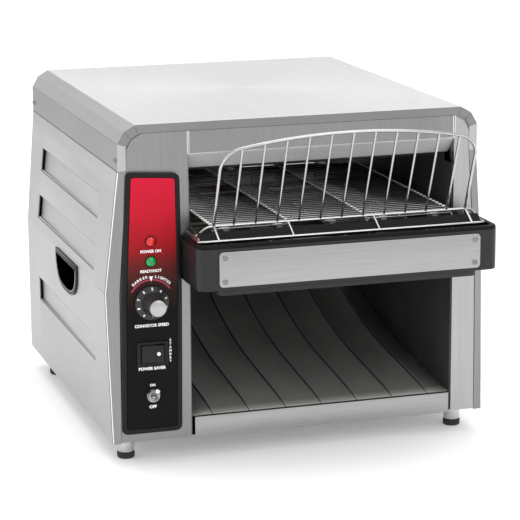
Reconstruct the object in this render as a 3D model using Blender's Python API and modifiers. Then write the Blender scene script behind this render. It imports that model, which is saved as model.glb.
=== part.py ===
"""Countertop conveyor toaster, built from its separate sheet, wire and turned pieces.

Units are metres. X runs to the right as the user faces the machine, Y runs to the rear and
Z runs up. The origin is on the floor, under the middle of the machine's bounding box.
"""
import math

import bmesh
import bpy
from mathutils import Matrix, Vector

# ---------------------------------------------------------------- driving dimensions
MM = 0.001

# casing
COVER_WIDTH = 390 * MM          # folded top cover, side to side
CREASE_WIDTH = 415 * MM         # side panels at their crease, the widest line
BASE_WIDTH = 410.4 * MM         # side panels at their bottom edge
DEPTH = 416 * MM                # front plane to rear plane
BODY_HEIGHT = 332.6 * MM        # bottom edge of the panels to the top of the cover
FOOT_HEIGHT = 25 * MM
COVER_SKIRT = 47 * MM           # how far the cover's sides come down
COVER_CORNER = 18.8 * MM        # width and height of the two-bend corner of the cover
SHEET = 1.2 * MM
EDGE_FLANGE = 9 * MM            # front and rear return of the cover and the side panels
CREASE_HEIGHT = 157 * MM        # above the bottom edge
FRONT_SWEEP = 12 * MM           # the side panel's front edge falls back at the crease
REAR_SWEEP = 10 * MM
GAP = 0.3 * MM                  # clearance between touching pieces

# openings between the two front pillars
OPENING_LEFT = -121 * MM
OPENING_RIGHT = 169 * MM
LIP_HEIGHT = 281.5 * MM         # lower lip of the header, above the bottom edge
HEADER_BEND = 299.5 * MM
LIP_SETBACK = 17.5 * MM

# conveyor
BELT_TOP = 231 * MM             # top face of the belt, above the bottom edge
BELT_THICK = 2.4 * MM
BELT_WIDTH = 267 * MM
BELT_ROLLER = 15.5 * MM         # radius that the belt runs on
FRONT_SHAFT_Y = -22 * MM        # from the front plane
REAR_SHAFT_Y = 322 * MM
SHAFT_RADIUS = 4.0 * MM
BUSH_BORE = 4.1 * MM

# front housing, a black band around the belt's nose
HOUSING_PROUD = 65 * MM
HOUSING_CENTRE = 32 * MM
HOUSING_WIDTH = 324 * MM
HOUSING_TOP = 217 * MM
HOUSING_BOTTOM = 170.5 * MM
HOUSING_CORNER = 11 * MM
HOUSING_RETURN = 6 * MM         # flat top edge of the band
PLATE_THICK = 1.2 * MM
PLATE_WIDTH = 281 * MM
PLATE_HEIGHT = 36 * MM

# wire feed rack
RACK_WIRE = 1.6 * MM
RUNG_WIRE = 1.3 * MM
RACK_HALF = 136.5 * MM
RACK_RISE = 102.5 * MM
RACK_LEAN = math.radians(22)
RACK_FOOT_Y = -33 * MM
RACK_FOOT_Z = 230.3 * MM
RUNG_PITCH = 23.1 * MM
RUNG_COUNT = 11

# controls, all on one vertical line of the left pillar
CONTROL_X = -163.2 * MM
BEZEL_THICK = 5.0 * MM
KNOB_Z = 149.3 * MM
ROCKER_Z = 95.5 * MM
TOGGLE_Z = 50.8 * MM
RED_LAMP_Z = 213.0 * MM
GREEN_LAMP_Z = 192.1 * MM

GLAND_PROUD = 11 * MM

# the machine stands centred on the origin, from the rack's crown to the cord gland
RACK_REACH = RACK_RISE * math.sin(RACK_LEAN) - RACK_FOOT_Y + RACK_WIRE
FRONT_Y = (RACK_REACH - DEPTH - GLAND_PROUD) / 2
REAR_Y = FRONT_Y + DEPTH
FLOOR_Z = FOOT_HEIGHT
TOP_Z = FLOOR_Z + BODY_HEIGHT
BELT_CENTRE_X = (OPENING_LEFT + OPENING_RIGHT) / 2
SHAFT_Z = FLOOR_Z + BELT_TOP - BELT_THICK - BELT_ROLLER

# ---------------------------------------------------------------- a clean scene
for old in list(bpy.data.objects):
    bpy.data.objects.remove(old, do_unlink=True)

PARTS = bpy.data.collections.new("conveyor_toaster")
CUTTERS = bpy.data.collections.new("conveyor_toaster_cutters")
bpy.context.scene.collection.children.link(PARTS)
bpy.context.scene.collection.children.link(CUTTERS)


def y_at(distance):
    """World Y of a point that many metres behind the front plane."""
    return FRONT_Y + distance


def z_at(height):
    """World Z of a point that many metres above the panels' bottom edge."""
    return FLOOR_Z + height


# ---------------------------------------------------------------- finishes
def finish(name, colour, metallic, roughness):
    material = bpy.data.materials.new(name)
    material.use_nodes = True
    shader = material.node_tree.nodes["Principled BSDF"]
    shader.inputs["Base Color"].default_value = (*colour, 1.0)
    shader.inputs["Metallic"].default_value = metallic
    shader.inputs["Roughness"].default_value = roughness
    material.diffuse_color = (*colour, 1.0)
    return material


STAINLESS = finish("brushed_stainless", (0.62, 0.62, 0.61), 1.0, 0.32)
ALUMINISED = finish("aluminised_steel", (0.45, 0.45, 0.44), 1.0, 0.5)
DARK_STEEL = finish("heat_darkened_steel", (0.05, 0.05, 0.05), 0.8, 0.5)
BLACK_ENAMEL = finish("black_powder_coat", (0.02, 0.02, 0.022), 0.0, 0.42)
BRIGHT_WIRE = finish("polished_wire", (0.78, 0.78, 0.78), 1.0, 0.15)
BELT_STEEL = finish("belt_wire", (0.30, 0.30, 0.29), 1.0, 0.35)
BRONZE = finish("sintered_bronze", (0.50, 0.33, 0.16), 1.0, 0.45)
QUARTZ = finish("heater_sheath", (0.32, 0.28, 0.25), 0.3, 0.4)
BLACK_PLASTIC = finish("black_plastic", (0.025, 0.025, 0.025), 0.0, 0.4)
LABEL_FILM = finish("printed_label", (0.55, 0.03, 0.06), 0.0, 0.35)
RED_LENS = finish("red_lens", (0.70, 0.03, 0.02), 0.0, 0.15)
GREEN_LENS = finish("green_lens", (0.03, 0.55, 0.16), 0.0, 0.15)
CHROME = finish("chrome", (0.85, 0.85, 0.85), 1.0, 0.08)
RUBBER = finish("black_rubber", (0.015, 0.015, 0.015), 0.0, 0.8)
BOARD_GREEN = finish("circuit_board", (0.03, 0.22, 0.08), 0.0, 0.5)
MOTOR_GREY = finish("cast_gear_case", (0.35, 0.36, 0.37), 0.6, 0.5)


# ---------------------------------------------------------------- modelling helpers
def add(obj, material, cutter=False):
    """Put an object in its collection and give it its finish."""
    if cutter:
        CUTTERS.objects.link(obj)
        obj.hide_render = True
        obj.display_type = "WIRE"
    else:
        PARTS.objects.link(obj)
        obj.data.materials.append(material)
    return obj


def smooth(mesh, angle=35):
    mesh.shade_smooth()
    mesh.set_sharp_from_angle(angle=math.radians(angle))


def curve_to_mesh(curve, name):
    """Weld an evaluated curve into a closed mesh and remove the curve."""
    holder = bpy.data.objects.new(name + "_curve", curve)
    bpy.context.scene.collection.objects.link(holder)
    bpy.context.view_layer.update()
    graph = bpy.context.evaluated_depsgraph_get()
    mesh = bpy.data.meshes.new_from_object(holder.evaluated_get(graph))
    bpy.data.objects.remove(holder, do_unlink=True)
    solid = bmesh.new()
    solid.from_mesh(mesh)
    bmesh.ops.remove_doubles(solid, verts=solid.verts, dist=1e-6)
    bmesh.ops.recalc_face_normals(solid, faces=solid.faces)
    solid.to_mesh(mesh)
    solid.free()
    mesh.name = name
    return mesh


# local X, Y, Z of a drawing go to these world directions
PLANES = {
    "XY": Matrix.Identity(4),
    "XZ": Matrix.Rotation(math.radians(90), 4, "X"),
    "YZ": Matrix(((0, 0, 1, 0), (1, 0, 0, 0), (0, 1, 0, 0), (0, 0, 0, 1))),
}


def plate(name, outlines, plane, low, high, material=None, cutter=False):
    """A flat outline, with its holes, standing between two levels of its normal."""
    curve = bpy.data.curves.new(name, "CURVE")
    curve.dimensions = "2D"
    curve.fill_mode = "BOTH"
    curve.extrude = (high - low) / 2
    for outline in outlines:
        spline = curve.splines.new("POLY")
        spline.points.add(len(outline) - 1)
        for point, (u, v) in zip(spline.points, outline):
            point.co = (u, v, 0, 1)
        spline.use_cyclic_u = True
    mesh = curve_to_mesh(curve, name)
    middle = (low + high) / 2
    shift = {"XY": (0, 0, middle), "XZ": (0, middle, 0), "YZ": (middle, 0, 0)}[plane]
    mesh.transform(Matrix.Translation(shift) @ PLANES[plane])
    return add(bpy.data.objects.new(name, mesh), material, cutter)


def bent_sheet(name, path, plane, low, high, thickness, material, side=0.0):
    """A folded sheet: an open path drawn in a plane and drawn out along its normal."""
    sheet = bmesh.new()
    points = [sheet.verts.new((u, v, low)) for u, v in path]
    edges = [sheet.edges.new(pair) for pair in zip(points, points[1:])]
    drawn = bmesh.ops.extrude_edge_only(sheet, edges=edges)
    moved = [item for item in drawn["geom"] if isinstance(item, bmesh.types.BMVert)]
    bmesh.ops.translate(sheet, verts=moved, vec=(0, 0, high - low))
    mesh = bpy.data.meshes.new(name)
    sheet.to_mesh(mesh)
    sheet.free()
    flip = Matrix.Scale(-1, 4, (0, 0, 1)) if plane == "XZ" else Matrix.Identity(4)
    mesh.transform(PLANES[plane] @ flip)
    if plane == "XZ":
        mesh.flip_normals()
    obj = add(bpy.data.objects.new(name, mesh), material)
    solid = obj.modifiers.new("thickness", "SOLIDIFY")
    solid.thickness = thickness
    solid.offset = side
    solid.use_even_offset = True
    return obj


def block(name, low, high, material=None, cutter=False, bevel=0.0):
    """A box between two corners, with optional rounded edges."""
    box = bmesh.new()
    bmesh.ops.create_cube(box, size=1.0)
    size = Vector(high) - Vector(low)
    bmesh.ops.scale(box, vec=size, verts=box.verts)
    bmesh.ops.translate(box, vec=(Vector(high) + Vector(low)) / 2, verts=box.verts)
    mesh = bpy.data.meshes.new(name)
    box.to_mesh(mesh)
    box.free()
    obj = add(bpy.data.objects.new(name, mesh), material, cutter)
    if bevel:
        rounding = obj.modifiers.new("rounding", "BEVEL")
        rounding.width = bevel
        rounding.segments = 2
    return obj


TURN = {
    "X": Matrix.Rotation(math.radians(90), 4, "Y"),
    "-X": Matrix.Rotation(math.radians(-90), 4, "Y"),
    "-Y": Matrix.Rotation(math.radians(90), 4, "X"),
    "Y": Matrix.Rotation(math.radians(-90), 4, "X"),
    "Z": Matrix.Identity(4),
}


def turned(name, profile, axis, centre, material=None, segments=16, ring=False, cutter=False):
    """A turned piece. The profile lists (radius, height) from the top down its outer side."""
    mesh = bpy.data.meshes.new(name)
    line = bmesh.new()
    points = [line.verts.new((radius, 0, height)) for radius, height in profile]
    pairs = list(zip(points, points[1:]))
    if ring:
        pairs.append((points[-1], points[0]))
    for pair in pairs:
        line.edges.new(pair)
    line.to_mesh(mesh)
    line.free()
    obj = add(bpy.data.objects.new(name, mesh), material, cutter)
    screw = obj.modifiers.new("turning", "SCREW")
    screw.axis = "Z"
    screw.steps = segments
    screw.render_steps = segments
    screw.use_merge_vertices = True
    screw.merge_threshold = 0.00001
    screw.use_normal_calculate = False
    screw.use_smooth_shade = False
    obj.matrix_world = Matrix.Translation(centre) @ TURN[axis]
    return obj


def wire(name, points, radius, material=None, cutter=False, sides=2, cyclic=False):
    """A round wire along a path, as a closed mesh."""
    curve = bpy.data.curves.new(name, "CURVE")
    curve.dimensions = "3D"
    curve.bevel_depth = radius
    curve.bevel_resolution = sides
    curve.use_fill_caps = True
    spline = curve.splines.new("POLY")
    spline.points.add(len(points) - 1)
    for point, co in zip(spline.points, points):
        point.co = (*co, 1)
    spline.use_cyclic_u = cyclic
    mesh = curve_to_mesh(curve, name)
    smooth(mesh)
    return add(bpy.data.objects.new(name, mesh), material, cutter)


def combine(obj, other, operation):
    step = obj.modifiers.new(operation.lower() + "_" + other.name, "BOOLEAN")
    step.operation = operation
    step.object = other
    step.solver = "EXACT"
    return obj


def circle(u, v, radius, count=14):
    return [(u + radius * math.cos(2 * math.pi * k / count),
             v + radius * math.sin(2 * math.pi * k / count)) for k in range(count)]


def box_outline(left, bottom, right, top):
    return [(left, bottom), (right, bottom), (right, top), (left, top)]


def rounded_outline(left, bottom, right, top, radius, steps=4):
    """A rectangle with round corners."""
    corners = ((right - radius, top - radius, 0), (left + radius, top - radius, 90),
               (left + radius, bottom + radius, 180), (right - radius, bottom + radius, 270))
    points = []
    for u, v, start in corners:
        for step in range(steps + 1):
            angle = math.radians(start + 90 * step / steps)
            points.append((u + radius * math.cos(angle), v + radius * math.sin(angle)))
    return points


# ---------------------------------------------------------------- casing
def cover_outline(inset, bottom):
    """Section of the top cover, left foot to right foot, drawn in from its outer face."""
    half = COVER_WIDTH / 2 - inset
    top = TOP_Z - inset
    corner = COVER_CORNER - inset * (2 - math.sqrt(2)) * 0.5
    run = corner / (math.sin(math.radians(30)) + math.cos(math.radians(30)))
    across = run * math.cos(math.radians(30))
    down = run * math.sin(math.radians(30))
    left = [(-half, bottom), (-half, top - corner), (-half + corner - across, top - down),
            (-half + corner, top)]
    return left + [(-x, z) for x, z in reversed(left)]


def make_top_cover():
    """One folded sheet: a flat top, two bends a side, and narrow returns front and rear."""
    skirt = TOP_Z - COVER_SKIRT
    cover = plate("top_cover", [cover_outline(0, skirt)], "XZ", FRONT_Y, REAR_Y, STAINLESS)
    hollow = plate("cover_hollow", [cover_outline(SHEET, skirt - 0.02)], "XZ",
                   FRONT_Y + SHEET, REAR_Y - SHEET, cutter=True)
    mouth = plate("cover_mouth", [cover_outline(EDGE_FLANGE, skirt - 0.02)], "XZ",
                  FRONT_Y - 0.02, REAR_Y + 0.02, cutter=True)
    combine(cover, hollow, "DIFFERENCE")
    combine(cover, mouth, "DIFFERENCE")


RIB_FRONT = 68 * MM
RIB_REAR = 350 * MM
RIB_BANDS = ((73 * MM, 99 * MM), (171 * MM, 197 * MM), (225.5 * MM, 251.5 * MM))
RIB_DEPTH = 1.2 * MM            # at the front end
RIB_RAMP = 2.4 * MM             # how much deeper the rear end is, where a slit is left open
RIB_WALL = 1.6 * MM             # width of the sloping rim
CUP_Y = 190 * MM
CUP_WIDTH = 98 * MM
CUP_HEIGHT = 34 * MM
CUP_TOP = 155.5 * MM


def panel_half_width(height):
    """Half width of the casing at a height above the bottom edge."""
    top = BODY_HEIGHT - COVER_SKIRT - GAP
    if height >= CREASE_HEIGHT:
        blend = (height - CREASE_HEIGHT) / (top - CREASE_HEIGHT)
        return CREASE_WIDTH / 2 + blend * (COVER_WIDTH - CREASE_WIDTH) / 2
    return BASE_WIDTH / 2 + height / CREASE_HEIGHT * (CREASE_WIDTH - BASE_WIDTH) / 2


def sweep_share(height):
    """1 at the crease and 0 at the top and bottom edges of a side panel."""
    top = BODY_HEIGHT - COVER_SKIRT - GAP
    if height >= CREASE_HEIGHT:
        return (top - height) / (top - CREASE_HEIGHT)
    return height / CREASE_HEIGHT


def flange_inner(height):
    """Half width at the inner edge of the panels' front and rear returns."""
    return panel_half_width(height) - EDGE_FLANGE - 3 * MM * sweep_share(height)


def cup_outline(grow):
    """A flat-topped shield, the outline of the finger recess."""
    half = CUP_WIDTH / 2 + grow
    top = z_at(CUP_TOP) + grow
    drop = CUP_HEIGHT + 2 * grow
    points = []
    steps = 14
    for step in range(steps + 1):
        angle = math.pi * step / steps
        squareness = 0.75
        u = half * math.copysign(abs(math.cos(angle)) ** squareness, math.cos(angle))
        v = drop * math.sin(angle) ** squareness
        points.append((y_at(CUP_Y) + u, top - v))
    return points


def make_side_panel(name, side):
    """A creased sheet with pressed ribs, a finger hole and narrow front and rear returns."""
    heights = [0.0, *RIB_BANDS[0], CREASE_HEIGHT, *RIB_BANDS[1], *RIB_BANDS[2],
               BODY_HEIGHT - COVER_SKIRT - GAP]
    columns = ["front_return", "front_edge", RIB_FRONT, RIB_REAR, "rear_edge", "rear_return"]
    panel = bmesh.new()
    grid = bmesh.ops.create_grid(panel, x_segments=len(columns) - 1,
                                 y_segments=len(heights) - 1, size=1.0)
    for vert in grid["verts"]:
        column = round((vert.co.x + 1) / 2 * (len(columns) - 1))
        row = round((vert.co.y + 1) / 2 * (len(heights) - 1))
        height = heights[row]
        half = panel_half_width(height)
        place = columns[column]
        if place == "front_return":
            x, y = flange_inner(height), FRONT_Y
        elif place == "front_edge":
            x, y = half, FRONT_Y + FRONT_SWEEP * sweep_share(height)
        elif place == "rear_edge":
            x, y = half, REAR_Y - REAR_SWEEP * sweep_share(height)
        elif place == "rear_return":
            x, y = flange_inner(height), REAR_Y
        else:
            x, y = half, y_at(place)
        vert.co = (side * x, y, z_at(height))
    bmesh.ops.recalc_face_normals(panel, faces=panel.faces)
    outward = sum(face.normal.x * face.calc_area() for face in panel.faces)
    if outward * side < 0:
        bmesh.ops.reverse_faces(panel, faces=panel.faces)
    for low, high in RIB_BANDS:
        middle = z_at((low + high) / 2)
        rib = [face for face in panel.faces
               if abs(face.calc_center_median().z - middle) < 5 * MM
               and y_at(RIB_FRONT) < face.calc_center_median().y < y_at(RIB_REAR)]
        bmesh.ops.inset_region(panel, faces=rib, thickness=RIB_WALL, depth=-RIB_DEPTH)
        for vert in {vert for face in rib for vert in face.verts}:
            if vert.co.y > y_at((RIB_FRONT + RIB_REAR) / 2):
                vert.co.x -= side * RIB_RAMP
        panel.normal_update()
        slit = [face for face in panel.faces if face.normal.y < -0.5
                and y_at(RIB_REAR) - 2 * RIB_WALL < face.calc_center_median().y < y_at(RIB_REAR)
                and z_at(low) < face.calc_center_median().z < z_at(high)]
        bmesh.ops.delete(panel, geom=slit, context="FACES_ONLY")
    mesh = bpy.data.meshes.new(name)
    panel.to_mesh(mesh)
    panel.free()
    obj = add(bpy.data.objects.new(name, mesh), STAINLESS)
    solid = obj.modifiers.new("thickness", "SOLIDIFY")
    solid.thickness = SHEET
    solid.offset = -1.0
    solid.use_even_offset = True
    hole = plate(name + "_finger_hole", [cup_outline(GAP)], "YZ",
                 *sorted((side * 0.19, side * 0.22)), cutter=True)
    return combine(obj, hole, "DIFFERENCE")


def make_handle_cup(name, side):
    """A moulded finger recess that clips into the side panel's hole."""
    face = side * (CREASE_WIDTH / 2 + GAP)
    rim = side * (CREASE_WIDTH / 2 + GAP + 1.6 * MM)
    depth = side * (CREASE_WIDTH / 2 - 22 * MM)
    cup = plate(name, [cup_outline(3 * MM)], "YZ", *sorted((face, rim)), BLACK_PLASTIC)
    body = plate(name + "_body", [cup_outline(-0.2 * MM)], "YZ",
                 *sorted((depth, face + side * 0.5 * MM)), cutter=True)
    space = plate(name + "_space", [cup_outline(-2.2 * MM)], "YZ",
                  *sorted((depth + side * 2 * MM, rim + side * 5 * MM)), cutter=True)
    combine(cup, body, "UNION")
    combine(cup, space, "DIFFERENCE")


def make_base_pan():
    """Floor of the casing: a shallow tray with low side and rear walls."""
    inside = BASE_WIDTH / 2 - SHEET - 0.6 * MM
    wall = 14 * MM
    pan = block("base_pan", (-inside, y_at(4 * MM), z_at(0.3 * MM)),
                (inside, REAR_Y - SHEET - 0.6 * MM, z_at(wall)), STAINLESS)
    hollow = block("base_pan_hollow",
                   (-inside + SHEET, y_at(-10 * MM), z_at(0.3 * MM) + SHEET),
                   (inside - SHEET, REAR_Y - 2 * SHEET - 0.6 * MM, z_at(wall + 10 * MM)),
                   cutter=True)
    combine(pan, hollow, "DIFFERENCE")


VENT_ROWS = 5
VENT_PITCH = 12 * MM


def make_rear_panel():
    """Flat rear sheet with two groups of vent slots and the cord gland's hole."""
    inside = flange_inner(CREASE_HEIGHT)
    outline = [(-flange_inner(0) + GAP, z_at(2 * MM)), (flange_inner(0) - GAP, z_at(2 * MM))]
    right = cover_outline(EDGE_FLANGE + GAP, z_at(BODY_HEIGHT - COVER_SKIRT))[4:]
    outline += [(inside - SHEET, z_at(CREASE_HEIGHT)), *reversed(right)]
    outline += [(-x, z) for x, z in reversed(outline[2:])]
    holes = [circle(GLAND_X, z_at(GLAND_Z), 8.3 * MM)]
    for row in range(VENT_ROWS):
        z = z_at(204 * MM + row * VENT_PITCH)
        for left, right_end in ((-110 * MM, -10 * MM), (58 * MM, 158 * MM)):
            holes.append(rounded_outline(left, z - 2.5 * MM, right_end, z + 2.5 * MM,
                                         2.4 * MM, steps=1))
    holes.append(circle(FAN_X, z_at(FAN_Z), 26 * MM, 20))
    plate("rear_panel", [outline, *holes], "XZ", REAR_Y - SHEET, REAR_Y, STAINLESS)


KNOB_HOLE = 5 * MM
LAMP_HOLE = 4.4 * MM
TOGGLE_HOLE = 6.4 * MM
ROCKER_CUTOUT = (14 * MM, 10.5 * MM)   # half width and half height


def control_holes():
    """The cut-outs for the controls, shared by the pillar, the bezel and the label."""
    half_wide, half_tall = ROCKER_CUTOUT
    return [circle(CONTROL_X, z_at(KNOB_Z), KNOB_HOLE),
            circle(CONTROL_X, z_at(RED_LAMP_Z), LAMP_HOLE),
            circle(CONTROL_X, z_at(GREEN_LAMP_Z), LAMP_HOLE),
            circle(CONTROL_X, z_at(TOGGLE_Z), TOGGLE_HOLE),
            box_outline(CONTROL_X - half_wide, z_at(ROCKER_Z) - half_tall,
                        CONTROL_X + half_wide, z_at(ROCKER_Z) + half_tall)]


def make_pillars():
    """The two upright front plates. Their outer edges meet the casing's returns."""
    skirt = z_at(BODY_HEIGHT - COVER_SKIRT)
    inner = cover_outline(EDGE_FLANGE + GAP, skirt)
    gap = GAP + 0.1 * MM
    low = 1 * MM
    left_top = inner[:4]
    left = [(OPENING_LEFT, z_at(low)), (-flange_inner(low) + gap, z_at(low)),
            (-flange_inner(CREASE_HEIGHT) + SHEET, z_at(CREASE_HEIGHT)), *left_top,
            (OPENING_LEFT, TOP_Z - EDGE_FLANGE - GAP)]
    right_top = inner[4:]
    right = [(OPENING_RIGHT, z_at(low)), (flange_inner(low) - gap, z_at(low)),
             (flange_inner(CREASE_HEIGHT) - SHEET, z_at(CREASE_HEIGHT)), *reversed(right_top),
             (OPENING_RIGHT, TOP_Z - EDGE_FLANGE - GAP)]
    plate("left_front_pillar", [left, *control_holes()], "XZ", FRONT_Y, FRONT_Y + SHEET,
          STAINLESS)
    plate("right_front_pillar", [right], "XZ", FRONT_Y, FRONT_Y + SHEET, STAINLESS)


def make_header():
    """The bent sheet over the mouth: an upright face, a sloping lip and a hem."""
    middle = SHEET / 2
    path = [(y_at(middle), TOP_Z - EDGE_FLANGE - GAP), (y_at(middle), z_at(HEADER_BEND)),
            (y_at(LIP_SETBACK), z_at(LIP_HEIGHT + middle)),
            (y_at(LIP_SETBACK + 6 * MM), z_at(LIP_HEIGHT + middle))]
    bent_sheet("front_header", path, "YZ", OPENING_LEFT + GAP, OPENING_RIGHT - GAP, SHEET,
               STAINLESS)


# ---------------------------------------------------------------- toasting chamber
WALL = 1.0 * MM
CHAMBER_LEFT = OPENING_LEFT + GAP
CHAMBER_RIGHT = OPENING_RIGHT - GAP
CHAMBER_REAR = 392 * MM
CHAMBER_TOP = 300 * MM
UPPER_HEATERS = ((65 * MM, 274 * MM), (160 * MM, 274 * MM), (255 * MM, 274 * MM))
LOWER_HEATERS = ((60 * MM, 213.1 * MM), (150 * MM, 213.1 * MM), (240 * MM, 213.1 * MM))
BUSH_HOLE = 6.4 * MM


def make_chamber_walls():
    """Side walls of the chamber, with ears that carry the belt's front shaft."""
    outline = [(y_at(2 * MM), z_at(3 * MM)), (y_at(CHAMBER_REAR), z_at(3 * MM)),
               (y_at(CHAMBER_REAR), z_at(CHAMBER_TOP)), (y_at(26 * MM), z_at(CHAMBER_TOP)),
               (y_at(26 * MM), z_at(272 * MM)), (y_at(2 * MM), z_at(272 * MM)),
               (y_at(2 * MM), z_at(226 * MM)), (y_at(-22 * MM), z_at(222.5 * MM)),
               (y_at(-27 * MM), z_at(218 * MM)), (y_at(-42 * MM), z_at(206 * MM)),
               (y_at(-42 * MM), z_at(192 * MM)), (y_at(2 * MM), z_at(176 * MM))]
    holes = [circle(y_at(FRONT_SHAFT_Y), SHAFT_Z, BUSH_HOLE),
             circle(y_at(REAR_SHAFT_Y), SHAFT_Z, BUSH_HOLE)]
    holes += [circle(y_at(y), z_at(z), 5.5 * MM, 10) for y, z in UPPER_HEATERS + LOWER_HEATERS]
    plate("left_chamber_wall", [outline, *holes], "YZ", CHAMBER_LEFT, CHAMBER_LEFT + WALL,
          DARK_STEEL)
    plate("right_chamber_wall", [outline, *holes], "YZ", CHAMBER_RIGHT - WALL, CHAMBER_RIGHT,
          DARK_STEEL)


def make_shields():
    """The roof over the upper heaters, and the shield between the belt and the ramp."""
    low_x = CHAMBER_LEFT + WALL + GAP
    high_x = CHAMBER_RIGHT - WALL - GAP
    roof = [(y_at(28 * MM), z_at(286 * MM)), (y_at(32 * MM), z_at(294 * MM)),
            (y_at(384 * MM), z_at(294 * MM)), (y_at(388 * MM), z_at(216 * MM))]
    bent_sheet("chamber_roof", roof, "YZ", low_x, high_x, WALL, ALUMINISED)
    shield = [(y_at(6 * MM), z_at(180 * MM)), (y_at(14 * MM), z_at(188 * MM)),
              (y_at(300 * MM), z_at(188 * MM)), (y_at(308 * MM), z_at(192 * MM))]
    bent_sheet("lower_heat_shield", shield, "YZ", low_x, high_x, WALL, ALUMINISED)


RAMP_START = (3.5 * MM, 22.6 * MM)
RAMP_BENDS = ((6.6, 128 * MM, 0.0), (19.5, 0.0, 0.62), (80.0, 0.0, 0.175))


def ramp_profile(arc_step=6.0):
    """The ramp's side view: a flat run-out, a slow curve, then a tight curve up the rear.

    Each bend gives its end angle in degrees, its straight length and its radius.
    """
    y, z = RAMP_START
    angle = RAMP_BENDS[0][0]
    points = [(y, z)]
    for end_angle, straight, radius in RAMP_BENDS:
        if radius == 0.0:
            y += straight * math.cos(math.radians(angle))
            z += straight * math.sin(math.radians(angle))
            points.append((y, z))
            continue
        steps = max(2, round(abs(end_angle - angle) / arc_step))
        start = angle
        for step in range(1, steps + 1):
            angle = start + (end_angle - start) * step / steps
            before = start + (end_angle - start) * (step - 1) / steps
            y += radius * (math.sin(math.radians(angle)) - math.sin(math.radians(before)))
            z += radius * (math.cos(math.radians(before)) - math.cos(math.radians(angle)))
            points.append((y, z))
    return points


def make_ramp():
    """The chute that turns the falling toast and slides it out at the front."""
    path = [(y_at(y), z_at(z)) for y, z in ramp_profile()]
    bent_sheet("discharge_ramp", path, "YZ", CHAMBER_LEFT + WALL + GAP,
               CHAMBER_RIGHT - WALL - GAP, WALL, DARK_STEEL)


def make_heaters():
    """Straight sheathed heating rods with ceramic ends, held in the chamber walls."""
    length = OPENING_RIGHT - OPENING_LEFT + 14 * MM
    half = length / 2
    profile = [(0, half), (2 * MM, half), (2 * MM, half - 6 * MM), (5 * MM, half - 6 * MM),
               (5 * MM, half - 20 * MM), (3.6 * MM, half - 20 * MM)]
    profile += [(radius, -height) for radius, height in reversed(profile)]
    for row, places in (("upper", UPPER_HEATERS), ("lower", LOWER_HEATERS)):
        for number, (y, z) in enumerate(places, 1):
            turned(f"{row}_heater_{number}", profile, "X",
                   (BELT_CENTRE_X, y_at(y), z_at(z)), QUARTZ, segments=10)


# ---------------------------------------------------------------- conveyor
def racetrack(start, end, radius, count=10):
    """Outline around two equal circles, as (y, z) points."""
    points = []
    for centre, first in ((start, 90), (end, -90)):
        for step in range(count + 1):
            angle = math.radians(first + 180 * step / count)
            points.append((centre[0] + radius * math.cos(angle),
                           centre[1] + radius * math.sin(angle)))
    return points


def make_belt():
    """The flat-flex wire belt as the closed band that its wires fill."""
    front = (y_at(FRONT_SHAFT_Y), SHAFT_Z)
    rear = (y_at(REAR_SHAFT_Y), SHAFT_Z)
    outlines = [racetrack(front, rear, BELT_ROLLER + BELT_THICK),
                racetrack(front, rear, BELT_ROLLER)]
    plate("conveyor_belt", outlines, "YZ", BELT_CENTRE_X - BELT_WIDTH / 2,
          BELT_CENTRE_X + BELT_WIDTH / 2, BELT_STEEL)


ROLLER_COUNT = 5
ROLLER_WIDTH = 7 * MM


def shaft_profile(left, right, extra=()):
    """A shaft from left to right with evenly spaced belt sprockets, listed right to left."""
    radius = BELT_ROLLER - 0.5 * MM
    first = BELT_CENTRE_X - BELT_WIDTH / 2 + 20 * MM
    pitch = (BELT_WIDTH - 40 * MM) / (ROLLER_COUNT - 1)
    discs = [(first + pitch * k - ROLLER_WIDTH / 2, first + pitch * k + ROLLER_WIDTH / 2,
              radius) for k in range(ROLLER_COUNT)]
    discs = sorted([*discs, *extra], reverse=True)
    profile = [(0, right), (SHAFT_RADIUS, right)]
    for low, high, disc_radius in discs:
        profile += [(SHAFT_RADIUS, high), (disc_radius, high), (disc_radius, low),
                    (SHAFT_RADIUS, low)]
    return profile + [(SHAFT_RADIUS, left), (0, left)]


DRIVE_X = -133 * MM             # plane of the chain
SHAFT_SPROCKET = 19 * MM
MOTOR_SPROCKET = 12.7 * MM
MOTOR_Y = 262 * MM
MOTOR_Z = 128 * MM
CHAIN_WIDTH = 6 * MM


def make_shafts():
    front = shaft_profile(OPENING_LEFT - 2 * MM, OPENING_RIGHT + 2 * MM)
    sprocket = (DRIVE_X - 1.5 * MM, DRIVE_X + 1.5 * MM, SHAFT_SPROCKET)
    rear = shaft_profile(DRIVE_X - 6 * MM, OPENING_RIGHT + 8 * MM, [sprocket])
    turned("front_idler_shaft", front, "X", (0, y_at(FRONT_SHAFT_Y), SHAFT_Z), STAINLESS, 14)
    turned("rear_drive_shaft", rear, "X", (0, y_at(REAR_SHAFT_Y), SHAFT_Z), STAINLESS, 14)


def make_bushes():
    """Flanged sintered bushes, pressed into the chamber walls from outside."""
    profile = [(BUSH_BORE, 1.6 * MM), (8 * MM, 1.6 * MM), (8 * MM, GAP), (6 * MM, GAP),
               (6 * MM, -2 * MM), (BUSH_BORE, -2 * MM)]
    for side, x, axis in (("left", CHAMBER_LEFT, "-X"), ("right", CHAMBER_RIGHT, "X")):
        for place, y in (("front", FRONT_SHAFT_Y), ("rear", REAR_SHAFT_Y)):
            turned(f"{place}_{side}_bush", profile, axis, (x, y_at(y), SHAFT_Z), BRONZE, 14,
                   ring=True)


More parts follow.
